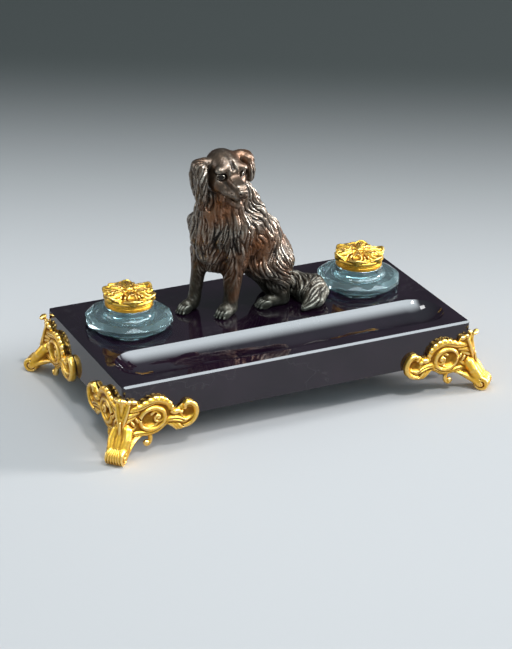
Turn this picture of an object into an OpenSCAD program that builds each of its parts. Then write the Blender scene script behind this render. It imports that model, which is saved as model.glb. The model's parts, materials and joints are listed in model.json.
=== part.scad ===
// Desk inkstand: a polished stone slab on four gilt corner feet, with a pen groove,
// two cut-glass inkwells under hinged gilt lids, and a seated bronze dog.
// Origin: centre of the underside of the feet. +X along the slab, -Y the pen side, +Z up.

/* [Slab] */
// Length of the stone slab
slab_w = 300; // [290:1:330]
// Depth of the stone slab
slab_d = 152.5; // [146:0.5:180]
// Thickness of the stone slab
slab_t = 32.5; // [30:0.5:40]
// Height of the slab's underside above the table
slab_lift = 24; // [22:0.5:30]
// Radius of the slab's upright corners
slab_corner_r = 3; // [1:0.25:5]
// Polished chamfer round the slab's top edge
slab_chamfer = 1.5; // [0.5:0.25:3]

/* [Pen groove] */
// Distance from the slab's end face to the groove's end
groove_end = 9; // [8.5:0.5:25]
// Width of the pen groove
groove_w = 44.5; // [38:0.5:48]
// Depth of the pen groove
groove_deep = 10; // [8:0.25:14]
// Distance from the slab's front face to the groove's centre line
groove_front = 33; // [30:0.5:36]

/* [Inkwells] */
// Half of the top's length kept for the dog; a well stands midway between it and the slab's end
dog_share = 55; // [52:0.5:60]
// Distance from the slab's back face to the inkwells' centres
well_back = 52; // [44:0.5:54]
// Number of cut sides on a well
well_sides = 12; // [12:1:12]
// Radius over the corners of a well's girdle
well_r = 34.8; // [33:0.1:36]
// Radius over the corners at the foot of the lower bevel
well_base_r = 29; // [28:0.1:31]
// Height of the lower bevel
well_bevel_h = 4; // [3:0.25:5]
// Height of the girdle's upright facets
well_girdle_h = 4; // [3:0.25:6]
// Height of the sloping crown facets
well_crown_h = 2; // [1.5:0.25:3]
// Height of the well's shoulder, on which the collar sits, above the slab
well_shoulder_z = 17.8; // [16:0.1:20]
// Radius of the glass neck below the collar
well_neck_r = 20; // [19.6:0.1:21]
// Depth of the round recess that holds a well
recess_deep = 2.5; // [1.5:0.25:4]
// Radius of the round foot that sits in the recess
well_foot_r = 27; // [25:0.25:27.5]
// Radial clearance round the foot in its recess
recess_gap = 0.5; // [0.35:0.05:1]
// Gap under a part that lifts off
rest_gap = 0.2; // [0.1:0.05:0.3]
// Radius of the mouth of the ink chamber
mouth_r = 13.4; // [12:0.1:13.8]
// Radius of the ink chamber at its floor
chamber_r = 21; // [18:0.25:22]
// Thickness of glass under the ink chamber, above the slab
chamber_floor = 2.5; // [2:0.25:4]

/* [Collars] */
// Outer radius of the gilt collar
collar_r = 19; // [18.4:0.1:19.4]
// Height of the collar
collar_h = 5.7; // [5:0.1:7]
// Wall of the collar
collar_wall = 1.2; // [1:0.1:1.5]
// Thickness of the cement between neck and collar
cement_t = 0.9; // [0.6:0.1:1.2]
// Radial clearance round the lid's spigot
spigot_gap = 0.5; // [0.4:0.05:0.8]
// Height of the lid's spigot
spigot_h = 1.4; // [1:0.1:1.8]

/* [Lids] */
// Radius of the lid over its leaf tips
lid_r = 21.8; // [21.2:0.1:22]
// Number of leaves round a lid
leaf_count = 8; // [6:1:10]
// Gap between a collar and its lid
lid_gap = 0.3; // [0.2:0.05:0.4]
// Thickness of the lid's plate
lid_plate_t = 1.5; // [1.2:0.1:2]
// Height of the lid's dome above its plate
lid_dome_h = 4.6; // [4:0.1:6]
// Distance from the lid's centre to the hinge's axis
hinge_y = 22.4; // [22:0.1:24]
// Radius of a hinge knuckle
knuckle_r = 2.1; // [1.8:0.1:2.3]
// Width of one knuckle
knuckle_w = 4; // [3:0.25:5]
// Axial gap between knuckles
knuckle_gap = 0.25; // [0.2:0.05:0.4]
// Radius of the hinge pin
pin_r = 0.8; // [0.7:0.05:1]
// Running clearance of the lid on its pin
pin_gap = 0.05; // [0.02:0.01:0.1]

/* [Feet] */
// Reach of a foot's wings along the slab from the corner
wing_l = 62; // [58:0.5:64]
// Thickness of a foot's wings
wing_t = 3.2; // [2.5:0.1:4]
// Height of the raised rims and scrolls on the wings
relief_h = 1.3; // [0.8:0.1:1.8]
// Distance from the corner to the centre of the cartouche
cartouche_s = 23.5; // [22:0.25:25]
// Radius of the cartouche over its leafy rim
cartouche_r = 15.3; // [14:0.1:16]
// Height of the cartouche's centre above the slab's underside
cartouche_z = 5; // [4:0.25:6]
// Radius of a leafy lobe on the cartouche's rim
lobe_r = 3.4; // [3:0.1:4]
// Radius of the scroll that ends a wing
scroll_r = 11; // [10:0.25:12]
// Height of that scroll's centre above the slab's underside
scroll_z = 1.6; // [1:0.1:3]
// Radius of the small scroll that hangs under a wing
drop_r = 3.4; // [3:0.1:4]
// Distance from the corner to that scroll's centre
drop_s = 19; // [17:0.25:21]
// Depth of that scroll's centre below the slab's underside
drop_z = 14.6; // [13:0.1:15]
// Radius of the scroll that tops the corner leaf
crest_r = 2.6; // [2.2:0.1:3]
// Radius of the scrolled toe
toe_r = 6.8; // [6:0.1:7.5]
// Distance of the toe's centre from the corner, along the diagonal
toe_out = 13.4; // [12:0.1:15]
// Width of the toe
toe_w = 16.5; // [12:0.25:18]
// Side of the square lug under the slab
lug_l = 17; // [15:0.5:20]
// Thickness of the lug
lug_t = 2.4; // [2:0.1:3]

/* [Fixings] */
// Radius of a foot screw's shank
screw_r = 1.5; // [1.25:0.05:1.75]
// Radius of a foot screw's head
screw_head_r = 3; // [2.6:0.1:3.4]
// Height of a foot screw's head
screw_head_h = 1.8; // [1.4:0.1:2.2]
// Radius of the brass plug set in the stone for each foot screw
plug_r = 4; // [3.5:0.1:5]
// Length of the brass plug
plug_l = 14; // [12:0.5:16]
// Radius of the studs that hold the dog
stud_r = 1.5; // [1.25:0.05:2]
// Radial clearance of the studs in the stone
stud_gap = 0.5; // [0.3:0.05:0.8]
// Radius of the counterbores for the dog's nuts
counterbore_r = 7; // [6.5:0.25:9]
// Depth of the counterbores
counterbore_deep = 8; // [7:0.5:12]
// Outer radius of the washers
washer_r = 5.5; // [4.5:0.1:6]
// Thickness of the washers
washer_t = 0.8; // [0.5:0.1:1.2]
// Width of the nuts across their corners
nut_w = 6.4; // [6.2:0.1:8]
// Thickness of the nuts
nut_t = 2.4; // [2:0.1:3.2]

/* [Dog] */
// Height of the dog above the slab
dog_h = 140; // [130:1:150]
// Sideways place of the dog's seat from the slab's centre
dog_x = 0; // [-8:0.5:4]
// Distance of the dog's midline from the slab's back face
dog_back = 54; // [50:0.5:56]
// Turn of the head from the slab's length
head_turn = -87; // [-110:1:-60]
// Downward tilt of the head
head_tilt = 1; // [-5:1:15]

/* [Hidden] */
$fn = 48;
eps = 0.01;

slab_top = slab_lift + slab_t;
front_y = -slab_d / 2;
back_y = slab_d / 2;
groove_y = front_y + groove_front;
groove_half = groove_w / 2;
groove_l = slab_w - 2 * groove_end;
// Radius of the groove's round section, from its width and depth
groove_r = (groove_half * groove_half + groove_deep * groove_deep) / (2 * groove_deep);
groove_rise = groove_r - groove_deep;

// Scale of the dog, whose own sizes below are those of a figure 140 high
dog_k = dog_h / 140;

well_x = (slab_w / 2 + dog_share * dog_k) / 2;
well_y = back_y - well_back;
side_turn = 360 / well_sides;
// The two wells stand half a side apart in turn
well_turn = [0, side_turn / 2];
neck_top_r = collar_r - collar_wall - cement_t;
collar_top = slab_top + well_shoulder_z + collar_h;
flange_t = collar_wall;
neck_top = collar_top - flange_t;
spigot_r = mouth_r - spigot_gap;
lid_z = collar_top + lid_gap;
hinge_z = lid_z + lid_plate_t / 3;
leaf_r = 8.2;
leaf_t = 2.2;
leaf_tilt = 12;
lid_cut_y = hinge_y - knuckle_r - 0.7;

scroll_x = wing_l - scroll_r;
plug_s = lug_l / 2 + 0.5;
dog_y = back_y - dog_back;
// Places of the dog's studs on the slab: one in the left fore paw, one in the rump
stud_at = [[-23, -13], [29, 6]];
stud_up = [9, 16];

// A rounded block with a chamfered top edge
module slab_body() {
    core_x = slab_w / 2 - slab_corner_r;
    core_y = slab_d / 2 - slab_corner_r;
    straight_h = slab_t - slab_chamfer;
    translate([0, 0, slab_lift]) linear_extrude(straight_h) union() {
        square([slab_w, 2 * core_y], center = true);
        square([2 * core_x, slab_d], center = true);
        for (x = [-core_x, core_x], y = [-core_y, core_y]) translate([x, y]) circle(slab_corner_r);
    }
    translate([0, 0, slab_lift + straight_h]) chamfered_top(slab_w, slab_d, slab_chamfer);
}

// The bevelled layer on top of the slab
module chamfered_top(w, d, h) {
    intersection() {
        rotate([90, 0, 0]) linear_extrude(d, center = true)
            polygon([[-w / 2, 0], [w / 2, 0], [w / 2 - h, h], [h - w / 2, h]]);
        rotate([90, 0, 90]) linear_extrude(w, center = true)
            polygon([[-d / 2, 0], [d / 2, 0], [d / 2 - h, h], [h - d / 2, h]]);
        linear_extrude(h) corner_cut_outline(w, d, slab_corner_r);
    }
}

// Plan of the slab with rounded corners
module corner_cut_outline(w, d, r) {
    square([w, d - 2 * r], center = true);
    square([w - 2 * r, d], center = true);
    for (x = [-1, 1], y = [-1, 1]) translate([x * (w / 2 - r), y * (d / 2 - r)]) circle(r);
}

module groove_cut() {
    end_x = groove_l / 2 - groove_half;
    translate([0, groove_y, slab_top + groove_rise]) {
        rotate([0, 90, 0]) cylinder(h = 2 * end_x, r = groove_r, center = true, $fn = 96);
        for (x = [-end_x, end_x]) translate([x, 0, 0]) sphere(groove_r, $fn = 96);
    }
}

// Runs its children at each of the slab's four corners, mirrored to suit
module at_corners() {
    for (side = [-1, 1], end = [-1, 1]) corner(side, end) children();
}

// Places a foot, drawn for a corner whose slab lies along +X and +Y, at one corner
module corner(side, end) {
    translate([side * slab_w / 2, end * slab_d / 2, 0])
        mirror([side > 0 ? 1 : 0, 0, 0]) mirror([0, end > 0 ? 1 : 0, 0]) children();
}

module slab() {
    color("#1d1a1f") difference() {
        slab_body();
        groove_cut();
        for (x = [-well_x, well_x]) translate([x, well_y, slab_top - recess_deep])
            cylinder(h = recess_deep + 1, r = well_foot_r + recess_gap);
        at_corners() translate([plug_s, plug_s, slab_lift - 1]) cylinder(h = plug_l + 1, r = plug_r);
        at_studs() {
            translate([0, 0, slab_lift - 1]) cylinder(h = slab_t + 2, r = stud_r + stud_gap);
            translate([0, 0, slab_lift - 1]) cylinder(h = counterbore_deep + 1, r = counterbore_r);
        }
    }
}

// Runs its children at each stud's place, on the plane of the table
module at_studs() {
    for (p = stud_at) translate([dog_x + dog_k * p[0], dog_y + dog_k * p[1], 0]) children();
}

// Face of a foot's wing: distance from the corner and height above the slab's underside
module wing_outline() {
    lobe_span = 120;
    band_h = 11.5;
    band_z = 4.6;
    bite_r = 4.6;
    translate([cartouche_s, cartouche_z]) {
        circle(cartouche_r - lobe_r / 3);
        for (i = [0 : 5]) rotate(15 + i * lobe_span / 5)
            translate([cartouche_r - lobe_r, 0]) circle(lobe_r);
    }
    difference() {
        translate([scroll_x, scroll_z]) circle(scroll_r);
        translate([scroll_x - scroll_r / 2, scroll_z + scroll_r - 1]) circle(bite_r);
    }
    translate([cartouche_s, -band_z]) square([scroll_x - cartouche_s, band_h]);
    // Corner leaf, from the crest down to the leg
    polygon([[-wing_t, -10], [9, -13], [13, -4], [12, 19], [7, 21.5], [3, 25], [-wing_t, 28]]);
    // Small drop scroll under the wing
    translate([drop_s, -drop_z]) circle(drop_r);
    translate([drop_s - drop_r - 1, -drop_z]) square([2 * drop_r - 0.5, drop_r + 5]);
}

module wing() {
    hollow_r = 6;
    hollow_deep = 0.6;
    translate([0, 0, slab_lift]) rotate([90, 0, 0]) difference() {
        union() {
            linear_extrude(wing_t) wing_outline();
            linear_extrude(wing_t + relief_h) wing_relief();
        }
        // Hollow of the cartouche, beside its volute
        translate([cartouche_s - 3.5, cartouche_z - 0.5, wing_t - hollow_deep])
            cylinder(h = relief_h + 1, r = hollow_r);
    }
}

// The raised rims: cartouche ring, volute, end curl and corner rib
module wing_relief() {
    ring_w = 3.5;
    volute_r = 3.8;
    eye_r = 3;
    rib_w = 5.5;
    rib_h = 30;
    translate([cartouche_s, cartouche_z]) difference() {
        circle(cartouche_r - 1.5);
        circle(cartouche_r - 1.5 - ring_w);
    }
    translate([cartouche_s + volute_r + 0.7, cartouche_z + 0.5]) circle(volute_r);
    translate([scroll_x, scroll_z]) difference() {
        circle(scroll_r - 0.6);
        circle(scroll_r - 0.6 - ring_w);
        translate([-scroll_r - 1, 1]) square([scroll_r + 1, scroll_r + 1]);
    }
    translate([scroll_x + 2, scroll_z + 4.4]) circle(eye_r);
    translate([drop_s, -drop_z]) circle(drop_r - 1);
    translate([-wing_t, -6]) square([rib_w, rib_h]);
}

// Runs its children in the leg's own frame: +X outward along the diagonal
module along_diagonal() {
    rotate([0, 0, -135]) children();
}

// A pair of equal balls set apart across the leg
module ball_pair(out, apart, z, r) {
    for (t = [-apart, apart]) translate([out, t, z]) sphere(r, $fn = 24);
}

// Cabriole leg, broad under the corner and narrow at the ankle, ending in a scrolled toe
module leg() {
    knee_r = 5.8;
    knee_half = 10;
    ankle_r = 4.8;
    instep_r = 4.4;
    end_hollow = 1;
    rim_w = 2.6;
    sole_r = 4;
    toe_z = toe_r + 0.3;
    ankle = [toe_out - 3.6, toe_w / 2 - 2.6, toe_r + 5.2];
    along_diagonal() {
        hull() {
            ball_pair(0.5, knee_half, slab_lift - 1, knee_r);
            ball_pair(ankle[0], ankle[1], ankle[2], ankle_r);
        }
        hull() {
            ball_pair(ankle[0], ankle[1], ankle[2], ankle_r);
            ball_pair(toe_out - 2, toe_w / 2 - instep_r, instep_r + 0.4, instep_r);
        }
        difference() {
            translate([toe_out, 0, toe_z]) rotate([90, 0, 0])
                cylinder(h = toe_w, r = toe_r, center = true);
            // Hollows that leave the scrolled ends of the toe proud
            for (t = [-1, 1]) translate([toe_out, t * toe_w / 2, toe_z]) rotate([90, 0, 0])
                cylinder(h = 2 * end_hollow, r = toe_r - rim_w, center = true);
        }
        translate([toe_out, 0, 0]) cylinder(h = 2, r = sole_r);
    }
}

// One corner foot: two wings, a corner leaf, the leg and the lug that is screwed to the slab
module foot() {
    color("goldenrod") difference() {
        union() {
            wing();
            mirror([1, -1, 0]) wing();
            corner_crest();
            leg();
            translate([-wing_t, -wing_t, slab_lift - lug_t])
                cube([lug_l + wing_t, lug_l + wing_t, lug_t]);
        }
        translate([plug_s, plug_s, slab_lift - lug_t - 1]) cylinder(h = lug_t + 2, r = screw_r + 0.1);
        // Nothing reaches into the slab
        translate([0, 0, slab_lift]) cube([wing_l + 9, wing_l + 9, slab_t]);
    }
}

// Leaf that stands up the corner, its tip turned outward
module corner_crest() {
    rib_r = wing_t + 1.2;
    rib_below = 4;
    rib_above = 26;
    tip_w = 9;
    translate([0, 0, slab_lift - rib_below]) cylinder(h = rib_above + rib_below, r = rib_r);
    translate([-wing_t * 0.8, -wing_t * 0.8, slab_lift + rib_above - 1]) rotate([0, 90, -45])
        cylinder(h = tip_w, r = crest_r, center = true);
}

module foot_plugs() {
    color("peru") at_corners() translate([plug_s, plug_s, slab_lift]) difference() {
        cylinder(h = plug_l, r = plug_r);
        translate([0, 0, -1]) cylinder(h = plug_l - 1, r = screw_r);
    }
}

module foot_screws() {
    slot_w = 0.8;
    slot_deep = 0.8;
    color("silver") at_corners() translate([plug_s, plug_s, slab_lift - lug_t]) {
        cylinder(h = lug_t + plug_l - 3, r = screw_r);
        difference() {
            translate([0, 0, -screw_head_h]) cylinder(h = screw_head_h, r = screw_head_r);
            translate([-screw_head_r - 1, -slot_w / 2, -screw_head_h - 1])
                cube([2 * screw_head_r + 2, slot_w, slot_deep + 1]);
        }
    }
}

// Round parts of the glass: shoulder and neck, as radius and height above the slab
module neck_profile() {
    shelf_z = well_bevel_h + well_girdle_h;
    fillet = 4;
    neck_base_r = well_neck_r + fillet;
    difference() {
        union() {
            translate([0, shelf_z - 1]) square([neck_base_r, well_crown_h + 1 + fillet]);
            translate([0, shelf_z]) square([well_neck_r, well_shoulder_z - shelf_z]);
            translate([0, shelf_z]) square([neck_top_r, neck_top - slab_top - shelf_z]);
        }
        translate([neck_base_r, shelf_z + well_crown_h + fillet]) circle(fillet);
    }
}

// Room for the ink: a wide floor drawn in to the mouth
module chamber_profile() {
    knee_z = well_bevel_h + well_girdle_h - 1;
    top = neck_top - slab_top;
    polygon([[0, chamber_floor], [chamber_r - 2, chamber_floor], [chamber_r, chamber_floor + 2],
        [chamber_r, knee_z], [mouth_r, well_shoulder_z - 2], [mouth_r, top + 1], [0, top + 1]]);
}

module inkwell(turn) {
    color("#b8d4d8", 0.5) translate([0, 0, slab_top]) difference() {
        union() {
            translate([0, 0, rest_gap - recess_deep]) cylinder(h = recess_deep, r = well_foot_r);
            rotate([0, 0, turn]) {
                translate([0, 0, rest_gap]) cylinder(h = well_bevel_h - rest_gap, r1 = well_base_r,
                    r2 = well_r, $fn = well_sides);
                translate([0, 0, well_bevel_h]) cylinder(h = well_girdle_h, r = well_r, $fn = well_sides);
                translate([0, 0, well_bevel_h + well_girdle_h])
                    cylinder(h = well_crown_h, r1 = well_r, r2 = well_r - 5, $fn = well_sides);
            }
            rotate_extrude() neck_profile();
        }
        rotate_extrude() chamber_profile();
    }
}

// Ring of cement that fills the joint between the glass neck and the collar
module cement() {
    color("ivory") translate([0, 0, slab_top + well_shoulder_z]) difference() {
        cylinder(h = collar_h - flange_t, r = collar_r - collar_wall);
        translate([0, 0, -1]) cylinder(h = collar_h, r = neck_top_r);
    }
}

// Section of the collar: a wall with two mouldings, turned in over the glass
module collar_profile() {
    groove = 0.3;
    bead_r = 0.55;
    translate([mouth_r, 0]) square([collar_r - groove - mouth_r, collar_h]);
    translate([mouth_r, 0]) square([collar_r - mouth_r, 1.1]);
    for (z = [0.26, 0.52]) translate([collar_r - bead_r, z * collar_h + 0.5]) circle(bead_r);
    translate([mouth_r, collar_h - 1]) square([collar_r - mouth_r, 1]);
}

module collar() {
    ear_w = knuckle_w - knuckle_gap;
    color("gold") difference() {
        union() {
            translate([0, 0, slab_top + well_shoulder_z]) rotate_extrude() collar_profile();
            for (s = [-1, 1]) translate([s * (1.5 * knuckle_w + knuckle_gap / 2), 0, 0]) {
                knuckle(ear_w);
                translate([-ear_w / 2, wall_root_y(), hinge_z - 5])
                    cube([ear_w, hinge_y - wall_root_y() + 0.6, 4]);
            }
        }
        // Socket for the glass neck and its cement
        translate([0, 0, slab_top + well_shoulder_z - 1])
            cylinder(h = collar_h - flange_t + 1, r = collar_r - collar_wall);
        hinge_bore(pin_r);
    }
}

// Depth inside the collar's curved wall at which a hinge ear starts
function wall_root_y() = sqrt(pow(collar_r - 0.6, 2) - pow(2 * knuckle_w + knuckle_gap, 2));

module knuckle(w) {
    translate([0, hinge_y, hinge_z]) rotate([0, 90, 0]) cylinder(h = w, r = knuckle_r, center = true);
}

module hinge_bore(r) {
    translate([0, hinge_y, hinge_z]) rotate([0, 90, 0])
        cylinder(h = 5 * knuckle_w, r = r, center = true);
}

module hinge_pin() {
    color("#a67c1e") translate([0, hinge_y, hinge_z]) rotate([0, 90, 0])
        cylinder(h = 4 * knuckle_w + 0.6, r = pin_r, center = true);
}

// One leaf of the lid: a tilted disc with a spoon-shaped hollow
module leaf(turn) {
    rotate([0, 0, turn]) translate([lid_r - leaf_r, 0, lid_z + lid_plate_t + 0.6])
        rotate([0, leaf_tilt, 0]) difference() {
            cylinder(h = leaf_t, r = leaf_r);
            translate([2.2, 0, leaf_t + 6.4]) sphere(7.4);
        }
}

module lid_profile() {
    plate_r = lid_r - 1.3;
    polygon([[0, 0], [plate_r, 0], [plate_r, lid_plate_t], [lid_r * 0.72, lid_plate_t + 1.8],
        [lid_r * 0.4, lid_plate_t + lid_dome_h * 0.8], [lid_r * 0.2, lid_plate_t + lid_dome_h],
        [0, lid_plate_t + lid_dome_h]]);
}

module lid() {
    color("goldenrod") difference() {
        union() {
            difference() {
                union() {
                    translate([0, 0, lid_z]) rotate_extrude() lid_profile();
                    for (i = [0 : leaf_count - 1]) leaf(i * 360 / leaf_count);
                }
                // Clear of the hinge ears
                translate([-lid_r, lid_cut_y, lid_z - 1]) cube([2 * lid_r, lid_r, 20]);
            }
            translate([0, 0, lid_z - spigot_h]) cylinder(h = spigot_h + eps, r = spigot_r);
            translate([0, 0, lid_z + lid_plate_t + lid_dome_h]) sphere(3.6);
            knuckle(2 * knuckle_w);
            translate([-knuckle_w, lid_cut_y - 1, lid_z]) cube([2 * knuckle_w, hinge_y - lid_cut_y + 1, 2]);
        }
        // Shallow dish under the lid
        translate([0, 0, lid_z - spigot_h - 1]) cylinder(h = spigot_h + 2, r = spigot_r - 1.6);
        hinge_bore(pin_r + pin_gap);
    }
}

// Places a part of one inkwell: -1 on the left, 1 on the right
module at_well(side) {
    translate([side * well_x, well_y, 0]) children();
}

module limb(a, ra, b, rb) {
    hull() {
        translate(a) sphere(ra);
        translate(b) sphere(rb);
    }
}

// A run of limbs through a list of [place, radius] pairs
module limbs(run) {
    for (i = [0 : len(run) - 2]) limb(run[i][0], run[i][1], run[i + 1][0], run[i + 1][1]);
}

// The seated body; distances from the seat's mark on the slab
module dog_trunk() {
    limbs([[[-25, 0, 71], 20.5], [[-18, 1, 87], 19], [[-27, -7, 107], 15.5]]);
    limbs([[[-15, 0, 72], 21.5], [[17, 5, 37], 20.5]]);
    limbs([[[-15, 0, 72], 21.5], [[-11.5, 0, 92], 15.5], [[-24, -4, 107], 14]]);
    limbs([[[17, 5, 37], 20.5], [[27, 6, 12], 13]]);
    limbs([[[-33, -2, 86], 15], [[-37, -2, 66], 13.5], [[-38, -6, 40], 3.5]]);
    limbs([[[-30, -2, 64], 12], [[-28, -5, 50], 8]]);
}

module dog_forelegs() {
    limbs([[[-35, 11, 68], 14], [[-37, 10, 42], 7], [[-41, 10, 9], 4.8]]);
    limbs([[[-43, 9.5, 5.2], 5.6], [[-52, 5.5, 4.2], 5.2]]);
    limbs([[[-19, -9, 70], 15], [[-18, -11, 43], 9], [[-19.5, -10.5, 11], 5]]);
    limbs([[[-21, -11, 5.6], 5.8], [[-28, -16, 4.8], 6]]);
}

// A hind leg on the line y, its paw reaching to toe_x
module dog_hindleg(y, toe_x) {
    limbs([[[21, y, 38], 14.5], [[9, y - 1, 36], 12.5]]);
    limbs([[[21, y, 30], 12.5], [[25, y - 1, 9], 8]]);
    limbs([[[26, y - 2, 5.4], 6], [[toe_x, y - 3.5, 4.8], 5.8]]);
}

module dog_tail() {
    limbs([[[33, 8, 9], 9.5], [[46, 2, 9.4], 10], [[54, -8, 9.2], 10], [[53, -18, 8], 9]]);
    limbs([[[53, -18, 8], 9], [[41, -30, 4.5], 4.5]]);
}

// The head in its own frame: +X to the nose, +Y to its left ear
module dog_head() {
    limbs([[[-5, 0, 1], 15.6], [[5, 0, 0.5], 15.4]]);
    limbs([[[9, 0, -3], 10.4], [[25, 0, -7], 6.6]]);
    limbs([[[7, 0, -12], 8], [[22, 0, -14.6], 4.4]]);
    translate([30, 0, -4.6]) sphere(3.4);
    limbs([[[-3, 15, 9], 5.5], [[-2, 22, 2], 6], [[2, 21, -20], 4]]);
    limbs([[[-3, -15, 9], 5.5], [[-2, -22, 1], 6], [[0, -18, -34], 5]]);
    for (y = [-1, 1]) translate([12.5, 8 * y, 3.5]) sphere(3.2);
}

module dog() {
    color("#4a3426") difference() {
        translate([dog_x, dog_y, slab_top]) scale(dog_k) {
            $fn = 20;
            dog_trunk();
            dog_forelegs();
            dog_hindleg(-8, 7);
            dog_hindleg(18, 13);
            dog_tail();
            translate([-28, -9, 119.5]) rotate([0, head_tilt, head_turn]) dog_head();
        }
        // Flat soles that stand on the stone
        translate([-slab_w / 2, front_y, slab_lift]) cube([slab_w, slab_d, slab_t]);
    }
}

// Threaded studs that run up through the stone into the casting
module dog_studs() {
    below = counterbore_deep - 2;
    color("silver") for (i = [0 : len(stud_at) - 1])
        translate([dog_x + dog_k * stud_at[i][0], dog_y + dog_k * stud_at[i][1], 0])
            translate([0, 0, slab_lift + counterbore_deep - below])
                cylinder(h = slab_t - counterbore_deep + below + stud_up[i] * dog_k, r = stud_r);
}

module dog_washers() {
    color("silver") at_studs() translate([0, 0, slab_lift + counterbore_deep - washer_t]) difference() {
        cylinder(h = washer_t, r = washer_r);
        translate([0, 0, -1]) cylinder(h = washer_t + 2, r = stud_r);
    }
}

module dog_nuts() {
    color("darkgoldenrod") at_studs()
        translate([0, 0, slab_lift + counterbore_deep - washer_t - nut_t]) difference() {
            cylinder(h = nut_t, r = nut_w / 2, $fn = 6);
            translate([0, 0, -1]) cylinder(h = nut_t + 2, r = stud_r);
        }
}

slab();
corner(-1, -1) foot();  // foot_front_left
corner(1, -1) foot();  // foot_front_right
corner(-1, 1) foot();  // foot_back_left
corner(1, 1) foot();  // foot_back_right
foot_plugs();
foot_screws();
at_well(-1) inkwell(well_turn[0]);  // inkwell_left
at_well(1) inkwell(well_turn[1]);  // inkwell_right
at_well(-1) cement();  // cement_left
at_well(1) cement();  // cement_right
at_well(-1) collar();  // collar_left
at_well(1) collar();  // collar_right
at_well(-1) hinge_pin();  // hinge_pin_left
at_well(1) hinge_pin();  // hinge_pin_right
at_well(-1) lid();  // lid_left
at_well(1) lid();  // lid_right
dog();
dog_studs();
dog_washers();
dog_nuts();
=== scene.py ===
"""Desk inkstand: the looks of the stone slab, gilt feet, cut-glass wells, gilt lids and bronze dog.

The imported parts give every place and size. Castings and carved ornament are shaped in millimetres as
distance fields and then turned into closed meshes in metres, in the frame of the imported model.
"""

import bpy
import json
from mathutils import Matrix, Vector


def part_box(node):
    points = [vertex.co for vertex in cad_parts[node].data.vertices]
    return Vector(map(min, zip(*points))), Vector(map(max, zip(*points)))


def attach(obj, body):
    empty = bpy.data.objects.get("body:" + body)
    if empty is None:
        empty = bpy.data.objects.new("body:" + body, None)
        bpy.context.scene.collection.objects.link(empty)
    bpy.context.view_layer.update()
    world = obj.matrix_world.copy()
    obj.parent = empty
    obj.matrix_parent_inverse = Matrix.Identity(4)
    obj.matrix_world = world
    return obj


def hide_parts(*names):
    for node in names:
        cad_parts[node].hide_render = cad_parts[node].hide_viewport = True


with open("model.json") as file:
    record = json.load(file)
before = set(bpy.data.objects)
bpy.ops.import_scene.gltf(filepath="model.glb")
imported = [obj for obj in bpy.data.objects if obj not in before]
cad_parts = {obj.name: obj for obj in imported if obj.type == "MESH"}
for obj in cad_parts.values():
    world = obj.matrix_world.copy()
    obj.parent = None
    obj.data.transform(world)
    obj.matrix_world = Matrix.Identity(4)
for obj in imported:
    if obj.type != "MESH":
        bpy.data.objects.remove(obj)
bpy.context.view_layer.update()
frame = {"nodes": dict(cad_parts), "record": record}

import json
import logging
import math
from dataclasses import dataclass, field
from enum import Enum
from typing import Sequence

import bpy
import numpy as np
import openvdb
from mathutils import Matrix, Vector

LOG = logging.getLogger("inkstand")
Array = np.ndarray
Point = Sequence[float]
Colour = tuple[float, float, float]
Window = tuple[tuple[slice, ...], list[Array]]
Piece = bpy.types.Object
Material = bpy.types.Material
Socket = bpy.types.NodeSocket

MM = 0.001  # one millimetre, in metres
FAR = 1000.0  # farther than any form reaches, in millimetres
TINY = 1e-9  # a hair above zero, which keeps divisions and flats clear of it
RELIEF_ROUNDS = 8  # rounds of smoothing with which the attribute "relief" compares
HOLLOW_ROUNDS = 60  # rounds of smoothing with which the attribute "hollow" compares
LAMP_POWER = 4.0  # watts per square metre of a lamp's face for each unit of its brightness


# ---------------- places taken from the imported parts


class Where(Enum):
    """A choice whose names are also words in the names of nodes and bodies."""

    @property
    def word(self) -> str:
        """The choice as it stands in those names."""
        return self.name.lower()


class Side(Where):
    """The two sides on which wells and feet stand, with the sign of their X."""

    LEFT = -1
    RIGHT = 1


class End(Where):
    """Front and back of the slab, with the sign of their Y."""

    FRONT = -1
    BACK = 1


def node_box(node: str) -> tuple[Array, Array]:
    """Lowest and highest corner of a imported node, in millimetres.

    Args:
        node: The node's name.

    Returns:
        The two corners as arrays.
    """
    low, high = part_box(node)
    return np.array(low) / MM, np.array(high) / MM


# ---------------- shaping by distance fields


def smooth_least(a: Array, b: Array, width: float) -> Array:
    """The lesser of two distances, with the crease between them filled over a width.

    Args:
        a: First distances.
        b: Second distances.
        width: Width over which the two run together; 0 keeps the crease.

    Returns:
        The joined distances.
    """
    if width <= 0:
        return np.minimum(a, b)
    overlap = np.maximum(width - np.abs(a - b), 0) / width
    return np.minimum(a, b) - overlap * overlap * width * 0.25


def turn_matrix(yaw: float = 0, pitch: float = 0, roll: float = 0) -> Array:
    """A turn about X, then about Y, then about Z.

    Args:
        yaw: Turn about Z, in degrees.
        pitch: Turn about Y, in degrees; positive lowers +X.
        roll: Turn about X, in degrees.

    Returns:
        The 3 by 3 matrix whose columns are the turned axes.
    """
    turns = (
        Matrix.Rotation(math.radians(yaw), 3, "Z")
        @ Matrix.Rotation(math.radians(pitch), 3, "Y")
        @ Matrix.Rotation(math.radians(roll), 3, "X")
    )
    return np.array(turns, float)


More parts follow.
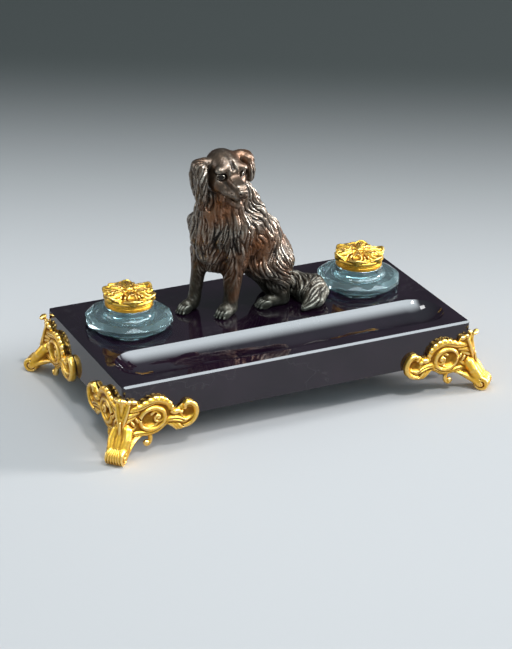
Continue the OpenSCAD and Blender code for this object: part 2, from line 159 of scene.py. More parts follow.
def curve(places: Sequence[Sequence[float]], between: int = 5) -> Array:
    """A smooth curve through some places.

    Args:
        places: The places, with any number of coordinates each.
        between: How many steps lead from one to the next.

    Returns:
        The curve's points, with the same coordinates.
    """
    known = np.array(places, float)
    ends = np.concatenate([2 * known[:1] - known[1:2], known, 2 * known[-1:] - known[-2:-1]])
    rows = []
    for k in range(1, len(ends) - 2):
        a, b, c, d = ends[k - 1:k + 3]
        for t in np.arange(between) / between:
            level = 2 * b + (c - a) * t
            bend = (2 * a - 5 * b + 4 * c - d) * t**2
            rows.append(0.5 * (level + bend + (3 * b - a - 3 * c + d) * t**3))
    rows.append(known[-1])
    return np.array(rows)


def outline_distance(outline: Sequence[tuple[float, float]], x: Array, y: Array) -> Array:
    """Signed distance from a closed outline in a plane, negative inside.

    Args:
        outline: The outline's corners, in order.
        x: First coordinates, ready to broadcast.
        y: Second coordinates.

    Returns:
        The distances.
    """
    corners = np.array(outline, float)
    least = 1e-12
    nearest = FAR
    inside = 0
    for (ax, ay), (bx, by) in zip(corners, np.roll(corners, -1, axis=0)):
        dx, dy = bx - ax, by - ay
        t = np.clip(((x - ax) * dx + (y - ay) * dy) / (dx * dx + dy * dy + least), 0, 1)
        nearest = np.minimum(nearest, np.hypot(x - ax - t * dx, y - ay - t * dy))
        crosses = (ay > y) != (by > y)
        inside = inside + (crosses & (x < ax + (y - ay) * dx / (dy if dy else least)))
    return np.where(inside % 2 == 1, -nearest, nearest)


def sample(grid: Array, low: Array, step: float, points: Array) -> Array:
    """Values of a grid at some points, run together from the corners round each.

    Args:
        grid: Values over X, Y and Z, with or without coordinates of their own.
        low: Place of the grid's first value.
        step: Distance between values.
        points: N by 3 points.

    Returns:
        The N values.
    """
    place = np.clip((points - low) / step, 0, np.array(grid.shape[:3]) - 1.001)
    cell = place.astype(int)
    share = (place - cell).astype(np.float32)
    value = 0
    for corner in np.ndindex(2, 2, 2):
        weight = np.prod([share[:, k] if corner[k] else 1 - share[:, k] for k in range(3)], axis=0)
        found = grid[cell[:, 0] + corner[0], cell[:, 1] + corner[1], cell[:, 2] + corner[2]]
        value = value + (weight[:, None] if found.ndim == 2 else weight) * found
    return value


class Carving:
    """A solid kept as signed distances on a grid of cubes.

    Forms are added to it and cut from it, all in millimetres.
    """

    def __init__(self, low: Point, high: Point, step: float) -> None:
        """Starts with empty space.

        Args:
            low: Lowest corner of the space, in millimetres.
            high: Highest corner.
            step: Side of a grid cube.
        """
        self.low = np.array(low, float)
        self.step = step
        self.shape = np.ceil((np.array(high, float) - self.low) / step).astype(int) + 1
        self.depth = np.full(self.shape, FAR, np.float32)

    def window(self, low: Point, high: Point) -> Window:
        """The part of the grid inside a box.

        Args:
            low: Lowest corner of the box.
            high: Highest corner.

        Returns:
            The slices of the grid, and the x, y and z of its cubes, ready to broadcast.
        """
        first = np.floor((np.array(low, float) - self.low) / self.step).astype(int)
        last = np.ceil((np.array(high, float) - self.low) / self.step).astype(int) + 1
        first, last = np.clip(first, 0, self.shape), np.clip(last, 0, self.shape)
        slices = tuple(slice(a, b) for a, b in zip(first, last))
        axes = []
        for k in range(3):
            line = (self.low[k] + self.step * np.arange(first[k], last[k])).astype(np.float32)
            axes.append(line.reshape([-1 if k == i else 1 for i in range(3)]))
        return slices, axes

    def whole(self) -> Window:
        """The window of the whole grid."""
        return self.window(self.low, self.low + self.step * self.shape)

    def join(self, slices: tuple[slice, ...], distance: Array, blend: float) -> None:
        """Adds a form, given as distances over a window."""
        self.depth[slices] = smooth_least(self.depth[slices], distance.astype(np.float32), blend)

    def take(self, slices: tuple[slice, ...], distance: Array, blend: float) -> None:
        """Cuts a form away, given as distances over a window."""
        self.depth[slices] = -smooth_least(-self.depth[slices], distance.astype(np.float32), blend)

    def work(self, slices: tuple[slice, ...], distance: Array, blend: float, cut: bool) -> None:
        """Adds or cuts a form, given as distances over a window."""
        (self.take if cut else self.join)(slices, distance, blend)

    @property
    def margin(self) -> float:
        """How far beyond a form and its blend the grid is worked over."""
        return 2.5 * self.step

    def window_round(self, centre: Point, reach: float, turn: Array | None) -> Window:
        """The part of the grid round a form, measured along the form's own axes.

        Args:
            centre: The form's centre.
            reach: How far the form and its blend reach from the centre.
            turn: The form's own axes as the columns of a matrix, or none where it stands straight.

        Returns:
            The slices of the grid, and how far its cubes lie from the centre along each own axis.
        """
        centre = np.array(centre, float)
        turn = np.eye(3) if turn is None else turn
        slices, (x, y, z) = self.window(centre - (reach + self.margin), centre + (reach + self.margin))
        px, py, pz = x - centre[0], y - centre[1], z - centre[2]
        return slices, [px * turn[0, k] + py * turn[1, k] + pz * turn[2, k] for k in range(3)]

    def run(self, places: Sequence[Point], radii: Sequence[float], blend: float = 0.0,
            cut: bool = False) -> None:
        """Adds or cuts a round bar that runs through some places.

        Args:
            places: The places, in order.
            radii: The bar's radius at each.
            blend: Width over which it runs into what is there.
            cut: Cuts the bar away instead.
        """
        spine = np.array(places, np.float32)
        thick = np.array(radii, np.float32)
        margin = thick.max() + blend + self.margin
        slices, (x, y, z) = self.window(spine.min(0) - margin, spine.max(0) + margin)
        best = None
        for a, b, ra, rb in zip(spine[:-1], spine[1:], thick[:-1], thick[1:]):
            along = b - a
            length2 = float(along @ along) + TINY
            px, py, pz = x - a[0], y - a[1], z - a[2]
            t = np.clip((px * along[0] + py * along[1] + pz * along[2]) / length2, 0, 1)
            px, py, pz = px - t * along[0], py - t * along[1], pz - t * along[2]
            here = np.sqrt(px * px + py * py + pz * pz) - (ra + t * (rb - ra))
            best = here if best is None else np.minimum(best, here)
        self.work(slices, best, blend, cut)

    def sweep(self, rows: Sequence[Sequence[float]], blend: float) -> None:
        """Adds a round bar along a smooth curve through rows of x, y, z and radius."""
        spine = curve(rows)
        self.run(spine[:, :3], spine[:, 3], blend)

    def egg(self, centre: Point, radii: Point, turn: Array | None = None, blend: float = 0.0,
            cut: bool = False) -> None:
        """Adds or cuts an egg-shaped form with three radii.

        Args:
            centre: Its centre.
            radii: Its three radii.
            turn: Its own axes as the columns of a matrix.
            blend: Width over which it runs into what is there.
            cut: Cuts the form away instead.
        """
        radii = np.array(radii, float)
        slices, axes = self.window_round(centre, radii.max() + blend, turn)
        near, steep = 0, 0
        for axis, radius in zip(axes, radii):
            own = axis / radius
            near = near + own * own
            steep = steep + (own / radius) ** 2
        near = np.sqrt(near)
        self.work(slices, near * (near - 1) / (np.sqrt(steep) + TINY), blend, cut)

    def brick(self, centre: Point, half: Point, round_over: float, turn: Array, blend: float) -> None:
        """Adds a block with rounded edges.

        Args:
            centre: Its centre.
            half: Half of each of its sizes, with the edges.
            round_over: Radius of its edges.
            turn: Its own axes as the columns of a matrix.
            blend: Width over which it runs into what is there.
        """
        slices, axes = self.window_round(centre, np.linalg.norm(half) + blend, turn)
        outside, deepest = 0, -FAR
        for axis, size in zip(axes, half):
            own = np.abs(axis) - size + round_over
            outside = outside + np.maximum(own, 0) ** 2
            deepest = np.maximum(deepest, own)
        self.join(slices, np.sqrt(outside) + np.minimum(deepest, 0) - round_over, blend)

    def drum(self, centre: Point, half: float, radius: float, round_over: float, turn: Array,
             blend: float) -> None:
        """Adds a short round bar with flat ends and rounded edges.

        Args:
            centre: Its centre.
            half: Half its length, along its own Y.
            radius: Its radius.
            round_over: Radius of its edges.
            turn: Its own axes as the columns of a matrix.
            blend: Width over which it runs into what is there.
        """
        slices, (across, along, upright) = self.window_round(centre, math.hypot(half, radius) + blend, turn)
        side = np.hypot(across, upright) - radius + round_over
        end = np.abs(along) - half + round_over
        outside = np.hypot(np.maximum(side, 0), np.maximum(end, 0))
        self.join(slices, outside + np.minimum(np.maximum(side, end), 0) - round_over, blend)

    def plate(self, outline: Sequence[tuple[float, float]], low: float, high: float,
              round_over: float) -> None:
        """Adds a plate that stands upright in the XZ plane, with rounded edges.

        Args:
            outline: Its outline as X and Z.
            low: Y of one face.
            high: Y of the other.
            round_over: Radius of its edges.
        """
        slices, (x, y, z) = self.whole()
        flat = outline_distance(outline, x, z) + round_over
        thick = np.abs(y - (low + high) / 2) - (high - low) / 2 + round_over
        outside = np.sqrt(np.maximum(flat, 0) ** 2 + np.maximum(thick, 0) ** 2)
        self.join(slices, outside + np.minimum(np.maximum(flat, thick), 0) - round_over, 0)

    def block(self, low: Point, high: Point, cut: bool = False, blend: float = 0.0) -> None:
        """Adds or cuts a block with sharp edges.

        Args:
            low: Its lowest corner.
            high: Its highest corner.
            cut: Cuts the block away instead.
            blend: Width over which it runs into what is there.
        """
        spare = 3.0
        slices, axes = self.window(np.array(low) - spare, np.array(high) + spare)
        distance = -FAR
        for axis, a, b in zip(axes, low, high):
            distance = np.maximum(distance, np.abs(axis - (a + b) / 2) - (b - a) / 2)
        self.work(slices, distance, blend, cut)

    def swap_and_join(self) -> None:
        """Adds the solid's own mirror image, with X and Y exchanged."""
        self.depth = np.minimum(self.depth, self.depth.transpose(1, 0, 2))

    def surface(self) -> tuple[Array, Array]:
        """Turns the solid into points in millimetres and faces of four corners each.

        Returns:
            The points and the faces.
        """
        reach = 3 * self.step
        band = np.clip(self.depth, -reach, reach)
        for k in range(3):  # the outermost layer stays empty, so that the mesh closes
            for edge in (0, -1):
                band[tuple(edge if i == k else slice(None) for i in range(3))] = reach
        grid = openvdb.FloatGrid(reach)
        grid.copyFromArray(band)
        points, quads = grid.convertToQuads(isovalue=0.0)
        return points * self.step + self.low, quads


def closed_mesh(name: str, points: Array, faces: Array, place: Matrix) -> Piece:
    """Makes a smooth-shaded object from points and faces, all with as many corners.

    Args:
        name: The object's name.
        points: N by 3 points, in millimetres.
        faces: The numbers of each face's points.
        place: Where the points' own frame lies, in millimetres.

    Returns:
        The object, linked to the scene.
    """
    turn = np.array(place.to_3x3(), float)
    points = points @ turn.T + np.array(place.translation)
    if np.linalg.det(turn) < 0:  # a mirrored place turns the faces inside out
        faces = faces[:, ::-1]
    mesh = bpy.data.meshes.new(name)
    corners = faces.shape[1]
    mesh.vertices.add(len(points))
    mesh.vertices.foreach_set("co", (points * MM).astype(np.float32).ravel())
    mesh.loops.add(faces.size)
    mesh.loops.foreach_set("vertex_index", faces.astype(np.int32).ravel())
    mesh.polygons.add(len(faces))
    mesh.polygons.foreach_set("loop_start", np.arange(0, faces.size, corners, dtype=np.int32))
    mesh.polygons.foreach_set("loop_total", np.full(len(faces), corners, np.int32))
    mesh.polygons.foreach_set("use_smooth", np.ones(len(faces), bool))
    mesh.update(calc_edges=True)
    mesh.validate()
    store_relief(mesh)
    item = bpy.data.objects.new(name, mesh)
    bpy.context.scene.collection.objects.link(item)
    return item


def store_relief(mesh: bpy.types.Mesh) -> None:
    """Writes how far each point stands out from its surroundings, in millimetres.

    Attribute "relief" compares it with its near surroundings, and "hollow" with a wider patch.

    Args:
        mesh: The mesh that gets the attributes.
    """
    count = len(mesh.vertices)
    points = np.empty(count * 3, np.float32)
    mesh.vertices.foreach_get("co", points)
    points = points.reshape(-1, 3) / MM
    normals = np.empty(count * 3, np.float32)
    mesh.vertex_normals.foreach_get("vector", normals)
    normals = normals.reshape(-1, 3)
    edges = np.empty(len(mesh.edges) * 2, np.int32)
    mesh.edges.foreach_get("vertices", edges)
    ends = edges.reshape(-1, 2)
    both = np.concatenate([ends, ends[:, ::-1]])
    degree = np.maximum(np.bincount(both[:, 0], minlength=count), 1)
    smooth = points.copy()
    for step in range(1, HOLLOW_ROUNDS + 1):
        smooth = np.stack(
            [np.bincount(both[:, 0], smooth[both[:, 1], k], count) / degree for k in range(3)], axis=1)
        if step in (RELIEF_ROUNDS, HOLLOW_ROUNDS):
            stand = ((points - smooth) * normals).sum(1)
            attribute = mesh.attributes.new("relief" if step == RELIEF_ROUNDS else "hollow", "FLOAT", "POINT")
            attribute.data.foreach_set("value", stand.astype(np.float32))


# ---------------- finishes


class Wiring:
    """Adds nodes to one tree and links them: a material's, a lamp's or the room's."""

    def __init__(self, tree: bpy.types.NodeTree) -> None:
        """Takes the tree with the nodes that it has."""
        self.tree = tree

    def node(self, kind: str, **inputs: object) -> bpy.types.Node:
        """Adds a node and fills or links its inputs.

        Args:
            kind: Blender's name for the node, without "ShaderNode".
            inputs: Values or output sockets by input name, with _ for a space.

        Returns:
            The node.
        """
        made = self.tree.nodes.new("ShaderNode" + kind)
        for name, value in inputs.items():
            self.feed(made.inputs[name.replace("_", " ")], value)
        return made

    def feed(self, socket: Socket, value: object) -> None:
        """Fills an input.

        Args:
            socket: The input.
            value: What it is set to, or the output that is linked to it.
        """
        if isinstance(value, Socket):
            self.tree.links.new(value, socket)
        else:
            socket.default_value = value

    def span(self, value: Socket, low: float, high: float, to_low: float = 0, to_high: float = 1) -> Socket:
        """A value's range mapped onto another, and held there."""
        made = self.node("MapRange", Value=value, From_Min=low, From_Max=high, To_Min=to_low, To_Max=to_high)
        return made.outputs["Result"]

    def soft_span(self, value: Socket, low: float, high: float) -> Socket:
        """A value's range mapped onto 0 to 1, with a soft start and end.

        Args:
            value: The value's socket.
            low: Where the share is 0.
            high: Where the share is 1.

        Returns:
            The share's socket.
        """
        share = self.span(value, low, high)
        share.node.interpolation_type = "SMOOTHSTEP"
        return share

    def blend(self, share: object, first: object, second: object) -> Socket:
        """Mixes two colours.

        Args:
            share: Share of the second colour, from 0 to 1.
            first: The first colour or its socket.
            second: The second colour or its socket.

        Returns:
            The mixed colour's socket.
        """
        made = self.tree.nodes.new("ShaderNodeMix")
        made.data_type = "RGBA"
        for number, value in ((0, share), (6, first), (7, second)):
            if isinstance(value, tuple):
                value = (*value, 1.0)
            self.feed(made.inputs[number], value)
        return made.outputs[2]

    def sum(self, first: object, second: object, kind: str = "ADD") -> Socket:
        """Adds two values, or joins them in another way.

        Args:
            first: The first value or its socket.
            second: The second value or its socket.
            kind: Blender's name for the way.

        Returns:
            The result's socket.
        """
        made = self.tree.nodes.new("ShaderNodeMath")
        made.operation = kind
        self.feed(made.inputs[0], first)
        self.feed(made.inputs[1], second)
        return made.outputs[0]


class Paint(Wiring):
    """Builds the nodes of one material round its surface shader."""

    def __init__(self, name: str) -> None:
        """Starts a material with a bare surface shader.

        Args:
            name: The material's name.
        """
        self.material = bpy.data.materials.new(name)
        self.material.use_nodes = True
        super().__init__(self.material.node_tree)
        self.shader = self.tree.nodes["Principled BSDF"]

    def surface(self, **inputs: object) -> None:
        """Fills or links the shader's own inputs."""
        for name, value in inputs.items():
            self.feed(self.shader.inputs[name.replace("_", " ")], value)

    def noise(self, scale: float, detail: float = 3, rough: float = 0.55,
              stretch: Point = (1, 1, 1)) -> Socket:
        """A cloudy value from 0 to 1 over the piece.

        Args:
            scale: How many clouds a metre holds.
            detail: How many finer layers lie in it.
            rough: Strength of the finer layers.
            stretch: How much closer the clouds lie along each axis.

        Returns:
            The value's socket.
        """
        spread = self.node("Mapping", Vector=self.place(), Scale=stretch).outputs["Vector"]
        made = self.node("TexNoise", Vector=spread, Scale=scale, Detail=detail, Roughness=rough)
        return made.outputs["Fac"]

    def relief(self, name: str = "relief") -> Socket:
        """How far each point stands out from its surroundings, in millimetres.

        Args:
            name: Which of the two attributes says so.

        Returns:
            The value's socket.
        """
        made = self.node("Attribute")
        made.attribute_name = name
        return made.outputs["Fac"]

    def place(self) -> Socket:
        """Each point's own place, in metres."""
        return self.node("TexCoord").outputs["Object"]

    def distance(self, spot: Point) -> Socket:
        """Each point's distance from a spot.

        Args:
            spot: The spot's place, in metres.

        Returns:
            The distance's socket.
        """
        node = self.node("VectorMath", Vector=self.place())
        node.operation = "DISTANCE"
        node.inputs[1].default_value = spot
        return node.outputs["Value"]

    def bump(self, height: Socket, depth: float, below: Socket | None = None) -> Socket:
        """A bumpy normal.

        Args:
            height: Height from 0 to 1.
            depth: Depth of the bumps, in metres.
            below: A normal that these bumps lie on.

        Returns:
            The normal's socket.
        """
        made = self.node("Bump", Height=height, Distance=depth, Strength=1.0)
        if below is not None:
            self.feed(made.inputs["Normal"], below)
        return made.outputs["Normal"]


@dataclass(frozen=True)
class StoneFinish:
    """Black marble, polished, with very faint veins and clouds."""

    ground: Colour = (0.0085, 0.0032, 0.0095)
    cloud: Colour = (0.0165, 0.0075, 0.0165)
    vein: Colour = (0.045, 0.04, 0.045)
    vein_width: float = 0.006
    vein_strength: float = 0.35
    polish: float = 0.035
    smear: float = 0.05
    ripple: float = 0.00003

    def build(self) -> Material:
        """Makes the material.

        Returns:
            The material.
        """
        paint = Paint("black_marble")
        clouds = paint.span(paint.noise(26, 6), 0.4, 0.7)
        ground = paint.blend(clouds, self.ground, self.cloud)
        ripple = paint.noise(9, 5, 0.6, (1, 1.6, 1))
        thread = paint.sum(paint.sum(ripple, 0.5, "SUBTRACT"), 0.0, "ABSOLUTE")
        vein = paint.span(thread, 0.0, self.vein_width, self.vein_strength, 0.0)
        colour = paint.blend(vein, ground, self.vein)
        rough = paint.span(paint.noise(60, 4), 0.3, 0.75, self.polish, self.polish + self.smear)
        paint.surface(Base_Color=colour, Roughness=rough, IOR=1.55,
                      Normal=paint.bump(paint.noise(14, 2), self.ripple))
        return paint.material


@dataclass(frozen=True)
class GiltFinish:
    """Mercury-gilt brass, matted on the grounds, with painted shade in brown in the hollows and a painted
    pale highlight on the high points.

    The depth is how far, in millimetres, a point lies in or out where its colour is full.
    """

    hollow: Colour = (0.15, 0.048, 0.005)
    body: Colour = (0.84, 0.47, 0.055)
    crown: Colour = (0.97, 0.68, 0.25)
    shade: Colour = (0.20, 0.066, 0.008)
    tarnish: Colour = (0.80, 0.42, 0.06)
    depth: float = 0.2
    rough_low: float = 0.5
    rough_high: float = 0.29
    matting: float = 0.00005
    hammering: float = 0.00014
    name: str = "gilt_brass"

    def build(self) -> Material:
        """Makes the material.

        Returns:
            The material.
        """
        paint = Paint(self.name)
        grain = paint.span(paint.noise(450, 4), 0.3, 0.7, -0.05, 0.05)
        near = paint.sum(paint.relief(), grain)
        wide = paint.sum(paint.relief("hollow"), grain)
        # painted shade: the brown hollow colour darkens the small hollows
        colour = paint.blend(paint.span(near, -self.depth, 0.02), self.hollow, self.body)
        # painted highlight: the pale crown colour lightens the high points
        colour = paint.blend(paint.span(near, 0.05, self.depth), colour, self.crown)
        # painted shade: the shade colour darkens the wide hollows
        colour = paint.blend(paint.span(wide, -0.6, 0.05, 0.92, 0.0), colour, self.shade)
        clouds = paint.span(paint.noise(90, 3), 0.35, 0.7, 0.0, 0.25)
        colour = paint.blend(clouds, colour, self.tarnish)
        rough = paint.span(near, -self.depth, self.depth, self.rough_low, self.rough_high)
        matting = paint.bump(paint.noise(2600, 2), self.matting)
        hammer = paint.bump(paint.noise(500, 3), self.hammering, matting)
        paint.surface(Base_Color=colour, Metallic=1.0, Roughness=rough, Normal=hammer)
        return paint.material


@dataclass(frozen=True)
class BronzeFinish:
    """Cast bronze with a dark brown patina, greenish at the feet, lighter where wear shows the metal on the
    high points, with a painted highlight there too, and with painted shade in the hollows.

    The depth is in millimetres of relief; places, reaches and spots are in metres.
    """

    hollow: Colour = (0.008, 0.0055, 0.0045)
    body: Colour = (0.088, 0.056, 0.036)
    rubbed: Colour = (0.43, 0.38, 0.32)
    rust: Colour = (0.21, 0.078, 0.026)
    green: Colour = (0.030, 0.034, 0.026)
    green_rubbed: Colour = (0.078, 0.090, 0.076)
    depth: float = 0.42
    rough_low: float = 0.5
    rough_high: float = 0.27
    lacquer: float = 0.3
    green_reach: tuple[float, float] = (0.004, 0.036)
    dull_reach: tuple[float, float] = (0.002, 0.045)
    eye_reach: tuple[float, float] = (0.0026, 0.0014)
    rust_spots: tuple[tuple[Point, float], ...] = (
        ((-0.019, 0.006, 0.085), 0.03), ((-0.028, 0.002, 0.150), 0.02), ((-0.002, 0.0, 0.110), 0.02))

    def build(self, foot_height: float, eyes: Sequence[Array]) -> Material:
        """Makes the material.

        Args:
            foot_height: Height of the stone on which the figure stands, in metres.
            eyes: Middles of the eyes, which stay dark, in metres.

        Returns:
            The material.
        """
        paint = Paint("brown_bronze")
        relief = paint.relief()
        relief_for_wear_and_light = paint.sum(relief, paint.span(paint.noise(300, 4), 0.3, 0.7, -0.12, 0.12))
        height = paint.node("SeparateXYZ", Vector=paint.place()).outputs["Z"]
        low = paint.span(height, *(foot_height + reach for reach in self.green_reach), 0.85, 0.0)
        colour = paint.blend(low, self.body, self.green)
        # darker patina in the grooves, deepened to near black as painted shade
        colour = paint.blend(paint.span(relief_for_wear_and_light, -0.36, 0.07), self.hollow, colour)
        # lighter metal on the high points from wear, with a painted highlight
        rubbed = paint.blend(low, self.rubbed, self.green_rubbed)
        colour = paint.blend(paint.span(relief_for_wear_and_light, 0.08, self.depth + 0.08, 0, 0.8), colour, rubbed)
        rust = paint.span(paint.noise(30, 3), 0.47, 0.66, 0.0, 0.55)
        for spot, reach in self.rust_spots:
            rust = paint.sum(rust, paint.span(paint.distance(spot), reach, reach * 0.35, 0.0, 0.5))
        colour = paint.blend(paint.sum(rust, low, "SUBTRACT"), colour, self.rust)
        # painted shade: the wide hollows are darkened to near black
        wide = paint.relief("hollow")
        colour = paint.blend(paint.span(wide, -1.8, -0.3, 0.85, 0.0), colour, self.hollow)
        for eye in eyes:
            near = paint.span(paint.distance(tuple(eye)), *self.eye_reach, 0.0, 0.92)
            colour = paint.blend(near, colour, self.hollow)
        rough = paint.span(relief_for_wear_and_light, -self.depth, self.depth, self.rough_low, self.rough_high)
        dull_low, dull_high = (foot_height + reach for reach in self.dull_reach)
        rough = paint.sum(rough, paint.span(height, dull_low, dull_high, 0.2, 0.0))
        grain = paint.bump(paint.noise(1500, 3), 0.00006)
        coat = paint.span(height, dull_low, dull_high, 0.06, self.lacquer)
        paint.surface(Base_Color=colour, Metallic=0.8, Roughness=rough, Coat_Weight=coat, Coat_Roughness=0.2,
                      Normal=grain)
        return paint.material


@dataclass(frozen=True)
class GlassFinish:
    """Clear cut crystal with a faint sea-blue cast."""

    tint: Colour = (0.71, 0.93, 0.962)
    clear: float = 0.93
    waver: float = 0.00004

    def build(self) -> Material:
        """Makes the material.

        Returns:
            The material.
        """
        paint = Paint("cut_crystal")
        polish = paint.bump(paint.noise(70, 2), self.waver)
        paint.surface(Base_Color=(*self.tint, 1.0), Roughness=0.0, IOR=1.52, Transmission_Weight=self.clear,
                      Normal=polish)
        return paint.material


@dataclass(frozen=True)
class TurnedMetalFinish:
    """Plain lathe-turned metal with fine rings and a dulled skin."""

    name: str
    bright: Colour
    dull: Colour
    rough: float = 0.3

    def build(self) -> Material:
        """Makes the material.

        Returns:
            The material.
        """
        paint = Paint(self.name)
        skin = paint.span(paint.noise(220, 4), 0.35, 0.7)
        colour = paint.blend(skin, self.bright, self.dull)
        rings = paint.noise(900, 2, 0.5, (0.2, 0.2, 4))
        rough = paint.span(skin, 0.0, 1.0, self.rough, self.rough + 0.2)
        paint.surface(Base_Color=colour, Metallic=1.0, Roughness=rough, Normal=paint.bump(rings, 0.00004))
        return paint.material


@dataclass(frozen=True)
class CementFinish:
    """Set plaster, pitted and slightly stained."""

    pale: Colour = (0.72, 0.68, 0.60)
    stain: Colour = (0.42, 0.36, 0.28)

    def build(self) -> Material:
        """Makes the material.

        Returns:
            The material.
        """
        paint = Paint("plaster_cement")
        colour = paint.blend(paint.span(paint.noise(260, 5), 0.4, 0.75), self.pale, self.stain)
        pits = paint.bump(paint.noise(1400, 4), 0.0002)
        paint.surface(Base_Color=colour, Roughness=0.85, Normal=pits)
        return paint.material


def dress(item: Piece, material: Material) -> None:
    """Gives a piece one material in place of whatever it has."""
    item.data.materials.clear()
    item.data.materials.append(material)


# ---------------- studio


@dataclass
class Studio:
    """Pale floor, soft lamps, a dim room and the camera.

    Places and sizes are in metres, and angles in radians.
    """

    camera_place: Point = (-0.6631, -1.2885, 0.7317)
    camera_yaw: float = 0.4735
    camera_pitch: float = 0.4412
    camera_roll: float = 0.0325
    camera_clip: tuple[float, float] = (0.05, 50.0)
    lens: float = 111.44
    sensor: float = 36.0
    floor_size: float = 9.0
    # floor_near to floor_far is painted shade that darkens the floor behind the part
    floor_near: Colour = (0.62, 0.62, 0.632)
    floor_far: Colour = (0.060, 0.068, 0.067)
    near_edge: float = 0.07
    far_edge: float = 0.85
    key_place: Point = (0.14, -0.58, 1.40)
    key_size: tuple[float, float] = (0.13, 0.13)
    key_watts: float = 6.4
    side_place: Point = (6.0, -1.32, 1.68)
    side_size: tuple[float, float] = (1.4, 0.9)
    side_watts: float = 400.0
    top_place: Point = (-0.30, 0.10, 1.50)
    top_size: tuple[float, float] = (0.32, 0.32)
    top_watts: float = 4.5
    box_height: float = 9.0
    box_across: tuple[float, float] = (-0.35, 1.70)
    box_ahead: tuple[float, float] = (-0.84, 0.26)
    box_light: float = 10.0
    box_colour: Colour = (0.86, 0.95, 1.0)
    box_fades: tuple[tuple[str, float, float], ...] = (
        ("X", 0.0, 0.14), ("X", 1.0, 0.86), ("Y", 0.0, 0.14), ("Y", 1.0, 0.35))
    left_place: Point = (-4.6, 2.6, 2.1)
    right_place: Point = (5.4, 1.2, 1.8)
    panel_size: tuple[float, float] = (2.8, 2.4)
    panel_light: float = 2.2
    room_dark: Colour = (0.072, 0.072, 0.08)
    room_pale: Colour = (0.50, 0.60, 0.64)
    room_fades: tuple[tuple[str, float, float], ...] = (
        ("Z", 0.35, 1.0), ("Y", 0.3, -0.7), ("X", -0.3, -0.8), ("X", 0.74, 0.96))
    aim: Point = (0.0, 0.0, 0.05)

    def build(self) -> None:
        """Makes the floor, the lamps, the world and the camera."""
        self.floor()
        self.lamp("key", self.key_place, self.key_size, self.key_watts)
        self.lamp("side", self.side_place, self.side_size, self.side_watts)
        self.lamp("top", self.top_place, self.top_size, self.top_watts)
        self.panel("left_panel", self.left_place)
        self.panel("right_panel", self.right_place)
        self.softbox()
        self.world()
        self.camera()
        bpy.context.scene.view_settings.view_transform = "Standard"

    def floor(self) -> None:
        """A wide level floor, pale near the part, with painted shade that darkens it farther behind the part.
        """
        half = self.floor_size / 2
        mesh = bpy.data.meshes.new("floor")
        corners = [(-half, -half, 0), (half, -half, 0), (half, half, 0), (-half, half, 0)]
        mesh.from_pydata([Vector(c) for c in corners], [], [(0, 1, 2, 3)])
        item = bpy.data.objects.new("floor", mesh)
        bpy.context.scene.collection.objects.link(item)
        paint = Paint("floor_paper")
        inward = paint.node("Mapping", Vector=paint.place(), Rotation=(0, 0, self.camera_yaw))
        reach = paint.node("SeparateXYZ", Vector=inward.outputs["Vector"]).outputs["Y"]
        # Painted shade: the floor's colour darkens with distance from the camera, as if the light fell off.
        share = paint.soft_span(reach, self.near_edge, self.far_edge)
        colour = paint.blend(share, self.floor_near, self.floor_far)
        paint.surface(Base_Color=colour, Roughness=0.85, Specular_IOR_Level=0.08,
                      Normal=paint.bump(paint.noise(900, 3), 0.00003))
        dress(item, paint.material)

    def lamp(self, name: str, place: Point, size: tuple[float, float], watts: float) -> None:
        """Adds a soft lamp that faces the part.

        Args:
            name: The lamp's name.
            place: Its centre, in metres.
            size: Its width and height.
            watts: Its power.
        """
        data = bpy.data.lights.new(name, "AREA")
        data.shape = "RECTANGLE"
        data.size, data.size_y = size
        data.energy = watts
        item = bpy.data.objects.new(name, data)
        item.location = place
        item.rotation_mode = "QUATERNION"
        item.rotation_quaternion = (Vector(self.aim) - Vector(place)).to_track_quat("-Z", "Y")
        bpy.context.scene.collection.objects.link(item)

    def panel(self, name: str, place: Point) -> None:
        """A far panel beside the part that shows only in polished surfaces.

        Args:
            name: The panel's name.
            place: Its centre, in metres.
        """
        width, height = self.panel_size
        self.lamp(name, place, self.panel_size, self.panel_light * LAMP_POWER * width * height)
        bpy.data.objects[name].visible_diffuse = False

    def softbox(self) -> None:
        """A wide, far box overhead that fades at its edges and shows only in polished surfaces."""
        (left, right), (front, back) = self.box_across, self.box_ahead
        data = bpy.data.lights.new("softbox", "AREA")
        data.shape = "RECTANGLE"
        data.size = (right - left) * self.box_height
        data.size_y = (back - front) * self.box_height
        data.energy = self.box_light * LAMP_POWER * data.size * data.size_y
        data.color = self.box_colour
        data.use_nodes = True
        wiring = Wiring(data.node_tree)
        face = wiring.node("NewGeometry").outputs["Parametric"]
        split = wiring.node("SeparateXYZ", Vector=face)
        strength = 1.0
        for axis, low, high in self.box_fades:
            strength = wiring.sum(strength, wiring.soft_span(split.outputs[axis], low, high), "MULTIPLY")
        wiring.feed(data.node_tree.nodes["Emission"].inputs["Strength"], strength)
        item = bpy.data.objects.new("softbox", data)
        across, ahead = (left + right) / 2, (front + back) / 2
        item.location = (across * self.box_height, ahead * self.box_height, self.box_height)
        item.visible_diffuse = False
        bpy.context.scene.collection.objects.link(item)

    def world(self) -> None:
        """A dim room: dark low behind the part, paler overhead, at the sides and in front."""
        world = bpy.data.worlds.new("room")
        bpy.context.scene.world = world
        world.use_nodes = True
        wiring = Wiring(world.node_tree)
        direction = wiring.node("TexCoord").outputs["Generated"]
        split = wiring.node("SeparateXYZ", Vector=direction)
        share = 0.0
        for axis, low, high in self.room_fades:
            share = wiring.sum(share, wiring.span(split.outputs[axis], low, high), "MAXIMUM")
        colour = wiring.blend(share, self.room_dark, self.room_pale)
        wiring.feed(world.node_tree.nodes["Background"].inputs["Color"], colour)

